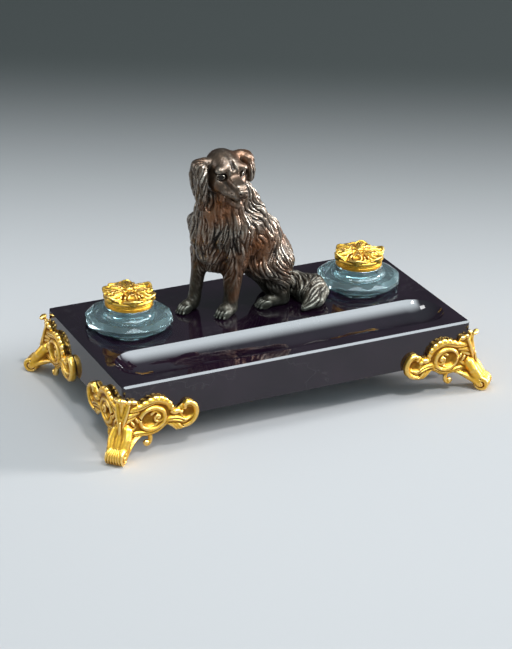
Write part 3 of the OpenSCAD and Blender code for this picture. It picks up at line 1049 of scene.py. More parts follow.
    def camera(self) -> None:
        """The camera at its measured place."""
        yaw, pitch, roll = self.camera_yaw, self.camera_pitch, self.camera_roll
        ahead = Vector((math.sin(yaw) * math.cos(pitch), math.cos(yaw) * math.cos(pitch), -math.sin(pitch)))
        level = Vector((math.cos(yaw), -math.sin(yaw), 0))
        upright = level.cross(ahead)
        right = level * math.cos(roll) + upright * math.sin(roll)
        up = upright * math.cos(roll) - level * math.sin(roll)
        data = bpy.data.cameras.new("camera")
        data.lens = self.lens
        data.sensor_width = self.sensor
        data.clip_start, data.clip_end = self.camera_clip
        item = bpy.data.objects.new("camera", data)
        turn = Matrix((right, up, -ahead)).transposed().to_4x4()
        item.matrix_world = Matrix.Translation(Vector(self.camera_place)) @ turn
        bpy.context.scene.collection.objects.link(item)
        bpy.context.scene.camera = item


# ---------------- feet


@dataclass
class Feet:
    """The four corner feet: one rococo casting, mirrored to each corner.

    The casting is carved, in millimetres, for a corner whose slab lies along +X and +Y. Places on a wing
    are distance from the corner, height above the table, distance out from the slab's face, and radius.
    """

    step: float = 0.42
    quick_step: float = 0.42 * 1.4
    low: Point = (-19.5, -19.5, -1.5)
    high: Point = (62.5, 62.5, 53.5)
    wing_front: float = -2.9
    wing_back: float = 0.6
    wing_edge: float = 1.2
    slab_under: float = 24.0
    lug: float = 17.0
    lug_depth: float = 2.4
    screw_radius: float = 1.6
    toe: Point = (-9.55, -9.55, 5.9)
    toe_radius: float = 6.1
    toe_half: float = 7.2
    outline: tuple[tuple[float, float], ...] = (
        (-2.6, 16), (-2.6, 46.5), (0.5, 45), (2, 42.5), (4, 45.2), (7, 45.6), (10.2, 44), (11.6, 41.2),
        (14.7, 41.2), (18, 42.8), (21, 43.4), (24.4, 45), (28, 45.2), (31, 43.8), (34.4, 42), (37, 39.6),
        (38.8, 36), (39.4, 33), (41, 32.8), (44.4, 32.2), (46.6, 31), (47.2, 33.4), (48.6, 36.2), (51, 38),
        (54, 37.6), (57, 35.4), (59.6, 31.8), (60.8, 26.6), (59.4, 21), (55.4, 17), (50.6, 15), (46, 13.8),
        (43.6, 14.6), (40.6, 18.4), (36.4, 20.4), (32, 18.6), (27, 14.8), (21, 13.8), (14, 15), (9, 14.4),
        (4, 11))
    casting: Carving = field(init=False)

    def build(self, gilt: Material) -> list[Piece]:
        """Carves the casting and sets it under each corner.

        Args:
            gilt: The finish.

        Returns:
            The four feet.
        """
        self.casting = Carving(self.low, self.high, self.step)
        self.casting.plate(self.outline, self.wing_front, self.wing_back, self.wing_edge)
        self.scrolls()
        self.cartouche()
        self.rim()
        self.corner_leaf()
        self.leg_side()
        self.casting.swap_and_join()
        self.leg_middle()
        self.lug_and_seat()
        points, faces = self.casting.surface()
        low, high = node_box("slab")
        feet = []
        for side in Side:
            for end in End:
                across = low[0] if side is Side.LEFT else high[0]
                ahead = low[1] if end is End.FRONT else high[1]
                corner = (across, ahead, 0)
                place = Matrix.Translation(corner) @ Matrix.Diagonal((-side.value, -end.value, 1, 1))
                name = f"foot_{end.word}_{side.word}"
                foot = closed_mesh(f"{name}_casting", points, faces, place)
                dress(foot, gilt)
                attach(foot, "base")
                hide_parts(name)
                feet.append(foot)
        return feet

    def rib(self, path: Sequence[Sequence[float]], blend: float = 0.4, cut: bool = False) -> None:
        """Adds or cuts a smooth rib on a wing.

        Args:
            path: The rib's places, with a radius each.
            blend: Width over which it runs into what is there.
            cut: Cuts the rib away instead.
        """
        points = curve(path)
        places = [(s, -t, z) for s, z, t, _ in points]
        self.casting.run(places, np.maximum(points[:, 3], 0.25), blend, cut)

    def boss(self, place: Sequence[float], radii: Point, lean: float = 0, blend: float = 0.4,
             cut: bool = False) -> None:
        """Adds or cuts an egg on a wing.

        Args:
            place: Where its centre lies.
            radii: Its radii along the wing, up and out.
            lean: How far its length leans up from the wing's, in degrees.
            blend: Width over which it runs into what is there.
            cut: Cuts the egg away instead.
        """
        s, z, t = place
        turn = turn_matrix(pitch=-lean)
        self.casting.egg((s, -t, z), (radii[0], radii[2], radii[1]), turn, blend, cut)

    def scrolls(self) -> None:
        """The fluted neck, the wing's end scroll with its spoon, and the drop scroll."""
        self.rib([(33.5, 25.0, 1.4, 2.8), (39, 24.8, 1.9, 3.0), (44.5, 23.4, 1.9, 3.3),
                  (49, 22.4, 1.4, 3.4)], 1.2)
        self.boss((51.2, 26.6, 1.4), (9.4, 9.6, 2.6), 0, 1.0)
        self.boss((51.6, 27.8, 5.2), (5.4, 5.2, 3.9), 15, 0.4, cut=True)
        self.rib([(44.5, 16.4, 2.0, 1.5), (50.5, 17.2, 2.5, 2.0), (54.8, 19.4, 2.8, 2.1),
                  (57.6, 23, 2.9, 2.1), (58.6, 27.2, 3.0, 2.1), (57.6, 31.4, 3.1, 2.0),
                  (54.9, 34.6, 3.1, 1.9), (51.9, 35.6, 3.0, 1.8), (49.4, 34.4, 3.0, 1.6),
                  (49.2, 32.0, 3.2, 1.3)], 0.7)
        self.rib([(46.5, 18.6, 4.2, 0.6), (51.4, 19.6, 4.8, 0.65), (55.0, 22.6, 4.9, 0.65),
                  (56.2, 27, 5.0, 0.6), (55.2, 30.8, 5.0, 0.5)], 0.3, cut=True)
        for drop, out in ((0.0, 4.6), (2.1, 5.0), (4.2, 4.6), (6.0, 3.9)):
            self.rib([(34.6, 27.0 - drop, out - 0.5, 0.4), (39.4, 27.2 - drop * 1.1, out, 0.75),
                      (44.6, 26.2 - drop * 1.25, out, 0.75), (48.6, 23.6 - drop * 1.15, out - 0.5, 0.4)],
                     0.25, cut=True)
        for lift in (0.0, 2.6, 5.2):
            self.rib([(35.4 + lift, 21.4, 2.6, 0.9), (38.9 + lift * 0.9, 19.2, 3.0, 1.3),
                      (41.6 + lift * 0.8, 16.6, 2.7, 1.2), (42.8 + lift * 0.75, 14.8, 2.3, 0.8)], 0.25)
        self.boss((41.6, 30.2, 3.0), (3.8, 2.2, 2.2), 8, 0.4)
        self.boss((38.8, 31.2, 2.8), (2.2, 1.9, 1.8), 60, 0.3)
        self.boss((45.2, 29.4, 3.0), (2.6, 1.5, 1.7), -20, 0.3)
        self.rib([(20.6, 15, 1.6, 1.6), (21.6, 11.4, 1.6, 1.7), (20.6, 8.2, 1.6, 1.9),
                  (18.4, 7.2, 1.7, 2.2)], 0.4)
        self.boss((17.8, 8.4, 2.0), (2.5, 2.5, 2.3), 0, 0.4)
        self.rib([(19.6, 11.0, 3.2, 0.5), (20.0, 8.4, 4.0, 0.6), (18.0, 6.9, 4.4, 0.6),
                  (16.6, 8.4, 4.2, 0.5)], 0.2, cut=True)

    def cartouche(self) -> None:
        """The oval dome with its ring, its hollow and the volute inside."""
        self.boss((22.4, 28.4, 1.0), (12.6, 11.4, 3.4), 8, 1.5)
        around = np.linspace(0, 2 * math.pi, 13)
        ring = [(22.6 + 9.9 * math.cos(a), 28 + 8.7 * math.sin(a), 3.2, 1.75) for a in around]
        self.rib(ring, 0.8)
        self.boss((20.4, 28.2, 5.6), (7.2, 6.9, 5.4), 10, 0.3, cut=True)
        coil = []
        for k in range(12):
            share = k / 11
            angle = math.radians(150 - share * 520)
            out = 5.6 * (1 - share) + 0.5
            s, z = 27.0 + out * math.cos(angle), 28.7 + out * math.sin(angle)
            coil.append((s, z, 2.6 + 1.6 * share, 1.25 - 0.2 * share))
        self.rib(coil, 0.3)
        self.boss((27.0, 28.7, 4.2), (1.5, 1.5, 1.2))

    def rim(self) -> None:
        """The leafy rim over the cartouche, the fan beside it and the sweep below it."""
        self.rib([(5.4, 37.6, 1.6, 2.4), (12, 38.8, 2.2, 2.6), (18, 41.0, 2.4, 2.6),
                  (24.4, 42.4, 2.4, 2.6), (30, 41.4, 2.4, 2.5), (34.8, 38.4, 2.2, 2.3),
                  (37.2, 34.2, 2.0, 2.0)], 0.9)
        lobes = [(11.4, 39.6, 10), (15.8, 41.4, 22), (20.4, 43.3, 22), (25.0, 44.2, 8), (29.6, 43.4, -20),
                 (33.4, 41.2, -38), (36.6, 37.8, -58), (38.2, 34.2, -75)]
        for s, z, lean in lobes:
            self.boss((s, z, 2.6), (2.7, 2.0, 2.0), lean, 0.3)
        for lift, out in ((0.0, 4.9), (1.9, 4.9)):
            self.rib([(7, 36.0 + lift, out - 0.6, 0.4), (14, 37.4 + lift, out, 0.65),
                      (20, 39.0 + lift, out, 0.65), (26, 39.4 + lift, out, 0.65),
                      (31.6, 37.0 + lift, out, 0.6), (35.2, 33.6 + lift, out - 0.7, 0.4)], 0.25, cut=True)
        self.rib([(-1.6, 31.6, 2.2, 1.6), (4.4, 33.8, 2.6, 1.9), (10.6, 35.2, 2.4, 1.6)], 0.5)
        self.rib([(-1.8, 27.6, 2.4, 1.3), (3.0, 29.8, 2.7, 1.6), (8.4, 32.0, 2.4, 1.3)], 0.3)
        for s, z in ((3.0, 24.6), (6.6, 26.4), (10.0, 28.8)):
            self.boss((s, z, 2.8), (3.1, 1.3, 1.7), -58, 0.25)
        for s, z in ((4.8, 25.2), (8.4, 27.4), (11.6, 30.4)):
            self.boss((s, z, 4.4), (2.8, 0.6, 1.7), -58, 0.2, cut=True)
        self.rib([(-2.6, 17.4, 2.6, 1.4), (1.8, 18.8, 3.0, 1.6), (5.8, 21.2, 2.9, 1.4),
                  (8.6, 23.6, 2.6, 1.0)], 0.4)
        self.rib([(1.6, 17.0, 1.6, 2.2), (9.8, 17.6, 2.2, 2.4), (19, 16.9, 2.4, 2.3),
                  (26.4, 18.1, 2.4, 2.1), (31.6, 21.2, 2.2, 2.0), (35.4, 24.4, 2.0, 1.6)], 0.8)
        for lift, out in ((0.2, 4.6), (-1.5, 4.2)):
            self.rib([(3.0, 17.0 + lift, out - 0.6, 0.4), (10, 17.6 + lift, out, 0.6),
                      (19, 16.9 + lift, out + 0.2, 0.65), (26.4, 18.3 + lift, out + 0.1, 0.6),
                      (32.4, 22.2 + lift, out - 0.5, 0.4)], 0.25, cut=True)

    def corner_leaf(self) -> None:
        """Half of the acanthus leaf that climbs the corner: its ribs, a vein and curled lobes."""
        self.rib([(-2.4, 17, 2.2, 2.0), (-1.8, 26, 2.4, 2.0), (0.6, 35, 2.6, 2.0), (2.8, 42, 2.2, 1.9)], 0.9)
        self.rib([(-2.6, 20, 3.9, 0.7), (-1.4, 28, 4.4, 0.95), (1.0, 35.4, 4.5, 1.0),
                  (3.4, 42.4, 3.6, 0.9)], 0.3)
        self.rib([(0.6, 29, 4.3, 0.4), (2.6, 34.0, 4.5, 0.6), (5.0, 39.6, 3.9, 0.4)], 0.2, cut=True)
        self.boss((3.6, 44.6, 2.4), (2.4, 1.8, 1.9), 35, 0.3)
        self.boss((7.8, 43.8, 2.2), (2.8, 1.9, 2.0), -10, 0.3)

    def leg_side(self) -> None:
        """Half of the leg: the edge that sweeps from the wing down to the toe, with its eyelets."""
        edge = [(13, -1.8, 15.6, 1.5), (8.4, -3.6, 13.8, 2.0), (3.6, -6.4, 11.2, 2.4),
                (-0.8, -9.6, 8.6, 2.6), (-4.0, -12.2, 6.0, 2.8)]
        fill = [(3, -1.5, 19, 3.0), (0, -4.5, 14.5, 4.0), (-3.2, -7.8, 10.6, 4.2), (-6, -10.6, 6.6, 4.2)]
        rim = [(12.6, -3.4, 15.2, 0.8), (7.6, -5.8, 13.4, 0.9), (2.6, -9.0, 10.6, 0.9),
               (-1.6, -12.2, 7.4, 0.9), (-4.0, -14.4, 4.6, 0.8)]
        self.casting.sweep(edge, 1.0)
        self.casting.sweep(fill, 2.0)
        self.casting.sweep(rim, 0.4)
        self.eyelet((-0.4, -8.4, 13.6), 2.0, 0.8)
        self.eyelet((-4.2, -12.4, 10.2), 1.7, 0.7)

    def eyelet(self, centre: Point, size: float, thick: float) -> None:
        """A small ring that faces out and up, with a hollow in it.

        Args:
            centre: Its centre.
            size: Its size, to the middle of the ring.
            thick: Radius of the ring's bar.
        """
        out = np.array([-0.25, -0.8, 0.55])
        out /= np.linalg.norm(out)
        aside = np.cross(out, (0, 0, 1.0))
        aside /= np.linalg.norm(aside)
        up = np.cross(aside, out)
        around = np.linspace(0, 2 * math.pi, 13)
        turns = [0.8 * aside * math.cos(a) + 1.25 * up * math.sin(a) for a in around]
        ring = [np.array(centre) + size * turn for turn in turns]
        self.casting.egg(centre, (size * 0.9,) * 3, None, 0.3, cut=True)
        self.casting.run(ring, [thick] * len(ring), 0.3)

    def leg_middle(self) -> None:
        """The middle of the leg, the rolled toe and the curled tip of the corner leaf."""
        aside = np.array([1, -1, 0]) / math.sqrt(2)
        ahead = np.array([-1, -1, 0]) / math.sqrt(2)
        for offset in (-3.6, 0, 3.6):
            line = [(-1.2, -1.2, 22), (-4.4, -4.4, 16.5), (-7.0, -7.0, 11.5), (-9.0, -9.0, 6.6)]
            spread = (1.1, 1.5, 1.3, 0.95)
            places = [np.array(p) + aside * offset * w for p, w in zip(line, spread)]
            self.casting.run(places, [4.2, 3.9, 3.8, 4.6], 1.5)
        toe = np.array(self.toe)
        self.casting.drum(toe, self.toe_half, self.toe_radius, 1.1, turn_matrix(45), 1.6)
        for side in (-1, 1):
            end = toe + aside * side * 7.3
            coil = []
            for k in range(15):
                angle = math.radians(100 + k * 40)
                out = 3.9 * (1 - k / 14) + 0.5
                coil.append(end + ahead * out * math.cos(angle) + (0, 0, out * math.sin(angle)))
            coil = curve(coil, 3)
            self.casting.run(coil, np.full(len(coil), 0.7), 0.2, cut=True)
        for offset in (-5.0, -3.0, -1.0, 1.0, 3.0, 5.0):
            groove = []
            for angle, spread in ((88, 0.6), (55, 0.75), (20, 0.95), (-10, 1.05), (-40, 1.1)):
                ray = math.radians(angle)
                out = 6.3 * (ahead * math.cos(ray) + (0, 0, math.sin(ray)))
                groove.append(toe + aside * offset * spread + out)
            groove = curve(groove, 3)
            self.casting.run(groove, np.linspace(0.35, 0.75, len(groove)), 0.2, cut=True)
        self.casting.run([(-5.0, -5.0, 17), (-4.6, -4.6, 24), (-3.9, -3.9, 31)], [1.5, 1.1, 0.6], 0.5)
        self.casting.run([(-4.3, -4.3, 31), (-4.6, -4.6, 38), (-4.8, -4.8, 44)], [0.9, 2.2, 2.9], 0.4,
                         cut=True)
        self.casting.egg((-3.2, -3.2, 47.8), (2.4, 4.8, 1.9), turn_matrix(45), 0.8)
        for offset in (-2.2, 0.0, 2.2):
            middle = np.array([-5.4, -5.4, 48.4]) + aside * offset
            self.casting.run([middle, middle - ahead * 3.2 + (0, 0, 1.6)], [0.45, 0.45], 0.2, cut=True)

    def lug_and_seat(self) -> None:
        """The lug under the slab, and the flat faces against the slab and the table."""
        lug_low = self.slab_under - self.lug_depth
        self.casting.block((-1, -1, lug_low), (self.lug, self.lug, self.slab_under), blend=0.3)
        hole = self.lug / 2 + 0.5
        self.casting.run([(hole, hole, 18), (hole, hole, 26)], [self.screw_radius] * 2, 0, cut=True)
        self.casting.block((0, 0, self.slab_under), (70, 70, 60), cut=True)
        self.casting.block((-30, -30, -10), (80, 80, 0), cut=True)


# ---------------- lids and inkwells


@dataclass
class Lid:
    """One lid: curled acanthus leaves round a bud.

    Sizes are in millimetres, from the middle of the plate's underside.
    """

    side: Side
    step: float = 0.3
    quick_step: float = 0.3 * 1.3
    leaves: int = 6
    first_leaf: float = 0.0
    low: Point = (-22.6, -22.6, -2)
    high: Point = (22.6, 25.2, 10.6)
    plate_radius: float = 20.2
    plate_thick: float = 3.4
    groove_depth: float = 0.9
    groove_half: float = 0.8
    groove_height: float = 1.9
    dome_radius: float = 39.2
    dome_drop: float = 34.0
    dome_reach: float = 15.0
    edge_y: float = 19.6
    hinge_y: float = 22.4
    hinge_z: float = 0.5
    pin_radius: float = 0.8
    pin_hole: float = 0.85
    knuckle_radius: float = 2.1
    knuckle_half: float = 4.0
    spigot_radius: float = 12.9
    spigot_depth: float = 1.4
    dish_radius: float = 11.3
    carving: Carving = field(init=False)

    def build(self, gilt: Material) -> Piece:
        """Carves the lid and seats it.

        Args:
            gilt: The finish.

        Returns:
            The lid.
        """
        node = f"lid_{self.side.word}"
        low, high = node_box(node)
        seat = low[2] + self.spigot_depth
        self.carving = Carving(self.low, self.high, self.step)
        self.plate()
        for k in range(self.leaves):
            self.leaf(self.first_leaf + k * 360 / self.leaves, 0.9 * math.sin(2.4 * k + 0.6))
        self.bud()
        self.underside()
        pin_low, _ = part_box(f"hinge_pin_{self.side.word}")
        axis = pin_low.y / MM + self.pin_radius - self.hinge_y
        place = Matrix.Translation(((low[0] + high[0]) / 2, axis, seat))
        item = closed_mesh(f"{node}_leaves", *self.carving.surface(), place)
        dress(item, gilt)
        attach(item, node)
        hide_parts(node)
        return item

    def plate(self) -> None:
        """The round plate with the groove round its edge, and the low dome on it."""
        slices, (x, y, z) = self.carving.whole()
        out = np.hypot(x, y)
        groove = self.groove_depth * np.exp(-((z - self.groove_height) / self.groove_half) ** 2)
        side = np.maximum(out - (self.plate_radius - groove), np.maximum(-z, z - self.plate_thick))
        dome = np.sqrt(out * out + (z + self.dome_drop) ** 2) - self.dome_radius
        dome = np.maximum(np.maximum(dome, out - self.dome_reach), -z)
        self.carving.join(slices, np.minimum(side, dome), 0)

    def leaf(self, angle: float, lift: float) -> None:
        """One leaf: a rounded back with veins, raised edges and a tip that curls up.

        Args:
            angle: Its direction round the axis, in degrees.
            lift: How much higher than the others its tip curls.
        """
        turn = turn_matrix(angle)

        def put(r: float, t: float, z: float) -> Array:
            """A place on the leaf, given as distance out, aside and up."""
            return turn @ np.array([r, t, z])

        back = curve([(4.6, 0, 4.8), (9.0, 0, 4.3), (14.0, 0, 3.2), (18.2, 0, 2.0)], 4)
        thick = np.interp(back[:, 0], (4.6, 9, 14, 18.2), (1.8, 3.2, 4.2, 3.6))
        self.carving.run([put(*p) for p in back], thick, 0.5)
        self.carving.egg(put(17.2, 0, 7.4 + lift), (3.8, 3.9, 2.8), turn @ turn_matrix(pitch=-14), 0.4,
                         cut=True)
        tip = curve([(16.8, -5.6, 3.0), (19.6, -3.9, 3.6 + lift / 2), (21.0, 0, 4.7 + lift),
                     (19.6, 3.9, 3.6 + lift / 2), (16.8, 5.6, 3.0)], 4)
        self.carving.run([put(*p) for p in tip], np.full(len(tip), 1.05), 0.4)
        for way in (-1, 1):
            edge = curve([(8.0, 3.0, 4.8), (11.6, 5.0, 4.5), (14.8, 6.0, 3.6), (17.2, 5.5, 3.1)], 4)
            places = [put(r, way * t, z + 0.3 * math.sin(1.7 * r)) for r, t, z in edge]
            self.carving.run(places, np.full(len(edge), 0.95), 0.4)
            for aside, deep in ((0.45, 0.5), (1.25, 0.45)):
                vein = curve([(6.6, 0.9, 6.6), (10.6, 1.6, 7.2), (14.0, 2.2, 6.3), (17.0, 2.6, 4.5)], 4)
                places = [put(r, way * t * aside * 1.35, z - 0.28 * aside) for r, t, z in vein]
                self.carving.run(places, np.full(len(vein), deep), 0.2, cut=True)
        gap = turn_matrix(angle + 180 / self.leaves)
        self.carving.egg(gap @ np.array([11.4, 0, 5.6]), (4.9, 1.5, 4.2), gap, 0.3, cut=True)
        self.carving.egg(gap @ np.array([20.2, 0, 4.4]), (3.8, 2.4, 2.6), gap, 0.4, cut=True)

    def bud(self) -> None:
        """The central bud on its ring."""
        around = np.linspace(0, 2 * math.pi, 25)
        ring = [(4.0 * math.cos(a), 4.0 * math.sin(a), 5.4) for a in around]
        self.carving.run(ring, np.full(len(ring), 0.8), 0.3)
        self.carving.egg((0, 0, 5.8), (2.7, 2.7, 2.3), None, 0.4)
        for k in range(4):
            turn = turn_matrix(45 + 90 * k)
            self.carving.egg(turn @ np.array([1.8, 0, 6.3]), (1.5, 1.0, 1.3), turn, 0.25)

    def underside(self) -> None:
        """Room for the hinge ears, the lid's own knuckle, and the dished spigot under it."""
        self.carving.block((-30, self.edge_y, -3), (30, 30, 20), cut=True)
        wide = self.knuckle_half
        self.carving.block((-wide, self.edge_y - 1.4, 0), (wide, self.hinge_y, 2.0), blend=0.3)
        slices, (x, y, z) = self.carving.window((-6, 18, -3), (6, 26, 4))
        reach = np.hypot(y - self.hinge_y, z - self.hinge_z)
        self.carving.join(slices, np.maximum(reach - self.knuckle_radius, np.abs(x) - wide), 0)
        self.carving.take(slices, reach - self.pin_hole, 0)
        slices, (x, y, z) = self.carving.window((-16, -16, -3), (16, 16, 1.5))
        out = np.hypot(x, y)
        self.carving.join(slices, np.maximum(out - self.spigot_radius, np.abs(z + 0.5) - 0.9), 0)
        self.carving.take(slices, np.maximum(out - self.dish_radius, z - 0.6), 0)


class Cut(Enum):
    """How one ring of a well's glass is worked."""

    ROUND = "round"
    FLATS = "flats"
    TURNED_FLATS = "turned_flats"


@dataclass
class Inkwell:
    """One cut-glass well: facets below, a round neck above, and the ink chamber inside.

    Sizes are in millimetres, and heights are above the stone.
    """

    side: Side
    turn: float = 0.0
    cut_sides: int = 12
    around: int = 192
    arris: float = 0.42
    crown_low: tuple[float, float] = (34.5, 7.7)
    crown_high: tuple[float, float] = (30.0, 9.9)
    sharp_angle: float = 9.0

    def build(self, glass: Material) -> Piece:
        """Makes the glass.

        Args:
            glass: The finish.

        Returns:
            The well.
        """
        node = f"inkwell_{self.side.word}"
        low, high = node_box(node)
        seat = node_box("slab")[1][2]
        rings = [self.ring(*ring) for ring in self.below()]
        rings += self.crown()
        rings += [self.ring(*ring) for ring in self.above() + self.inside()]
        middles = [[0, 0, rings[0][0, 2]], [0, 0, rings[-1][0, 2]]]
        points = np.concatenate(rings + [np.array(middles)])
        place = Matrix.Translation(((low[0] + high[0]) / 2, (low[1] + high[1]) / 2, seat))
        item = self.solid(f"{node}_glass", points, self.faces(len(rings)), place)
        dress(item, glass)
        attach(item, node.replace("inkwell", "well"))
        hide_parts(node)
        return item

    def faces(self, rings: int) -> Array:
        """Joins the rings to one another, and the first and the last to a middle point.

        Args:
            rings: How many rings there are; the two middle points follow them.

        Returns:
            The numbers of each face's three points.
        """
        steps = np.arange(self.around)
        after = (steps + 1) % self.around
        rising = self.off_flat() < 0  # on which side of its flat a point lies, so that splits follow arrises
        faces = []
        for k in range(rings - 1):
            a, b = k * self.around, (k + 1) * self.around
            faces.append(np.stack([a + steps, a + after, np.where(rising, b + after, b + steps)], 1))
            faces.append(np.stack([np.where(rising, a + steps, a + after), b + after, b + steps], 1))
        bottom, last = rings * self.around, (rings - 1) * self.around
        faces.append(np.stack([np.full(self.around, bottom), after, steps], 1))
        faces.append(np.stack([np.full(self.around, bottom + 1), last + steps, last + after], 1))
        return np.concatenate(faces)

    @property
    def half(self) -> float:
        """Half the angle of one flat."""
        return math.pi / self.cut_sides

    @property
    def angles(self) -> Array:
        """Angles of a ring's points."""
        return np.linspace(0, 2 * math.pi, self.around, endpoint=False)

    def off_flat(self) -> Array:
        """Angle of each point from the middle of its flat."""
        return np.mod(self.angles - math.radians(self.turn) + TINY, 2 * self.half) - self.half

    def spread(self, reach: Array, z: float) -> Array:
        """Sets a ring's reaches out around the axis."""
        x, y = reach * np.cos(self.angles), reach * np.sin(self.angles)
        return np.stack([x, y, np.full(self.around, z)], 1)

    def ring(self, radius: float, z: float, cut: Cut) -> Array:
        """Places one ring of points.

        Args:
            radius: Its radius, at the corners where it is cut, in millimetres.
            z: Its height above the stone.
            cut: How it is worked.

        Returns:
            The points.
        """
        if cut is Cut.ROUND:
            return self.spread(np.full(self.around, radius), z)
        off = np.abs(self.off_flat())
        if cut is Cut.TURNED_FLATS:
            off = self.half - off
        flat = radius * math.cos(self.half) / np.cos(off)
        return self.spread(np.minimum(flat, radius - self.arris), z)

    def crown(self) -> list[Array]:
        """Places the rings of the crown, whose facets are three-cornered and point up and down by turns.

        The crown's upper corners stand over the middles of the lower flats.

        Returns:
            The rings, from the bottom up.
        """
        (wide, z_low), (narrow, z_high) = self.crown_low, self.crown_high
        off = np.abs(self.off_flat())
        count = self.around // self.cut_sides // 2
        rings = []
        for step in range(count + 1):
            line = math.tan(self.half * (1 - step / count))
            part = wide * (math.sin(self.half) - math.cos(self.half) * line)
            share = part / (part + narrow * line)
            lower = wide * math.cos(self.half) * (1 - share) + narrow * share
            upper = wide * (1 - share) + narrow * math.cos(self.half) * share
            reach = np.minimum(lower / np.cos(off), upper / np.cos(self.half - off))
            rings.append(self.spread(np.minimum(reach, wide - self.arris), z_low + (z_high - z_low) * share))
        return rings

    def solid(self, name: str, points: Array, faces: Array, place: Matrix) -> Piece:
        """Makes the glass's mesh, with its arrises kept sharp.

        Args:
            name: Its name.
            points: Its points, in millimetres.
            faces: The numbers of each face's three points.
            place: Where the well's own frame lies, in millimetres.

        Returns:
            The object, linked to the scene.
        """
        mesh = bpy.data.meshes.new(name)
        moved = (points + np.array(place.translation)) * MM
        mesh.from_pydata([tuple(p) for p in moved], [], [tuple(map(int, face)) for face in faces])
        mesh.validate()
        mesh.shade_smooth()
        mesh.set_sharp_from_angle(angle=math.radians(self.sharp_angle))
        item = bpy.data.objects.new(name, mesh)
        bpy.context.scene.collection.objects.link(item)
        return item

    def below(self) -> list[tuple[float, float, Cut]]:
        """Lists the rings up to the crown.

        Returns:
            Each ring's radius, height above the stone, and how it is worked.
        """
        e = self.arris
        rings = [(radius, z, Cut.ROUND) for radius, z in ((26.8, -2.3), (27.0, -2.1), (27.0, 0.2))]
        cut = ((29.0, 0.2), (34.8 - e, 4.0 - 0.7 * e), (34.8, 4.0 + e), (34.8, 7.7 - e))
        return rings + [(radius, z, Cut.FLATS) for radius, z in cut]

    def above(self) -> list[tuple[float, float, Cut]]:
        """Lists the rings from the crown over the shoulder to the mouth.

        Returns:
            Each ring's radius, height above the stone, and how it is worked.
        """
        rings = [(30.0 - self.arris, 10.0, Cut.TURNED_FLATS)]
        for k in range(9):
            ray = math.pi / 2 * k / 8
            rings.append((24.0 - 4.0 * math.sin(ray), 14.0 - 4.0 * math.cos(ray), Cut.ROUND))
        mouth = ((20.0, 17.5), (19.7, 17.8), (16.9, 17.8), (16.9, 22.3))
        return rings + [(radius, z, Cut.ROUND) for radius, z in mouth]

    def inside(self) -> list[tuple[float, float, Cut]]:
        """Lists the rings down the inside, from the mouth to the chamber's floor.

        Returns:
            Each ring's radius, height above the stone, and how it is worked.
        """
        places = ((13.6, 22.3), (13.4, 22.1), (13.4, 16.2), (13.9, 15.3), (20.2, 7.9), (21.0, 6.6),
                  (21.0, 4.6), (20.4, 3.2), (18.8, 2.5))
        return [(radius, z, Cut.ROUND) for radius, z in places]


# ---------------- dog


@dataclass(frozen=True)
class Lay:
    """The direction in which the coat lies near one place."""

    place: Point
    flow: Point
    reach: float = 9.0


def across_body(lays: Sequence[Lay], midline: float) -> list[Lay]:
    """The same lays on the body's other side.

    Args:
        lays: The lays to copy.
        midline: Y of the body's middle.

    Returns:
        The copies.
    """
    copies = []
    for lay in lays:
        (x, y, z), (u, v, w) = lay.place, lay.flow
        copies.append(Lay((x, 2 * midline - y, z), (u, -v, w), lay.reach))
    return copies


@dataclass(frozen=True)
class Hair:
    """One size of hair: how wide its tufts are, how far they run and how deep the gaps lie."""

    width: float
    paces: int
    depth: float
    parted: bool = True


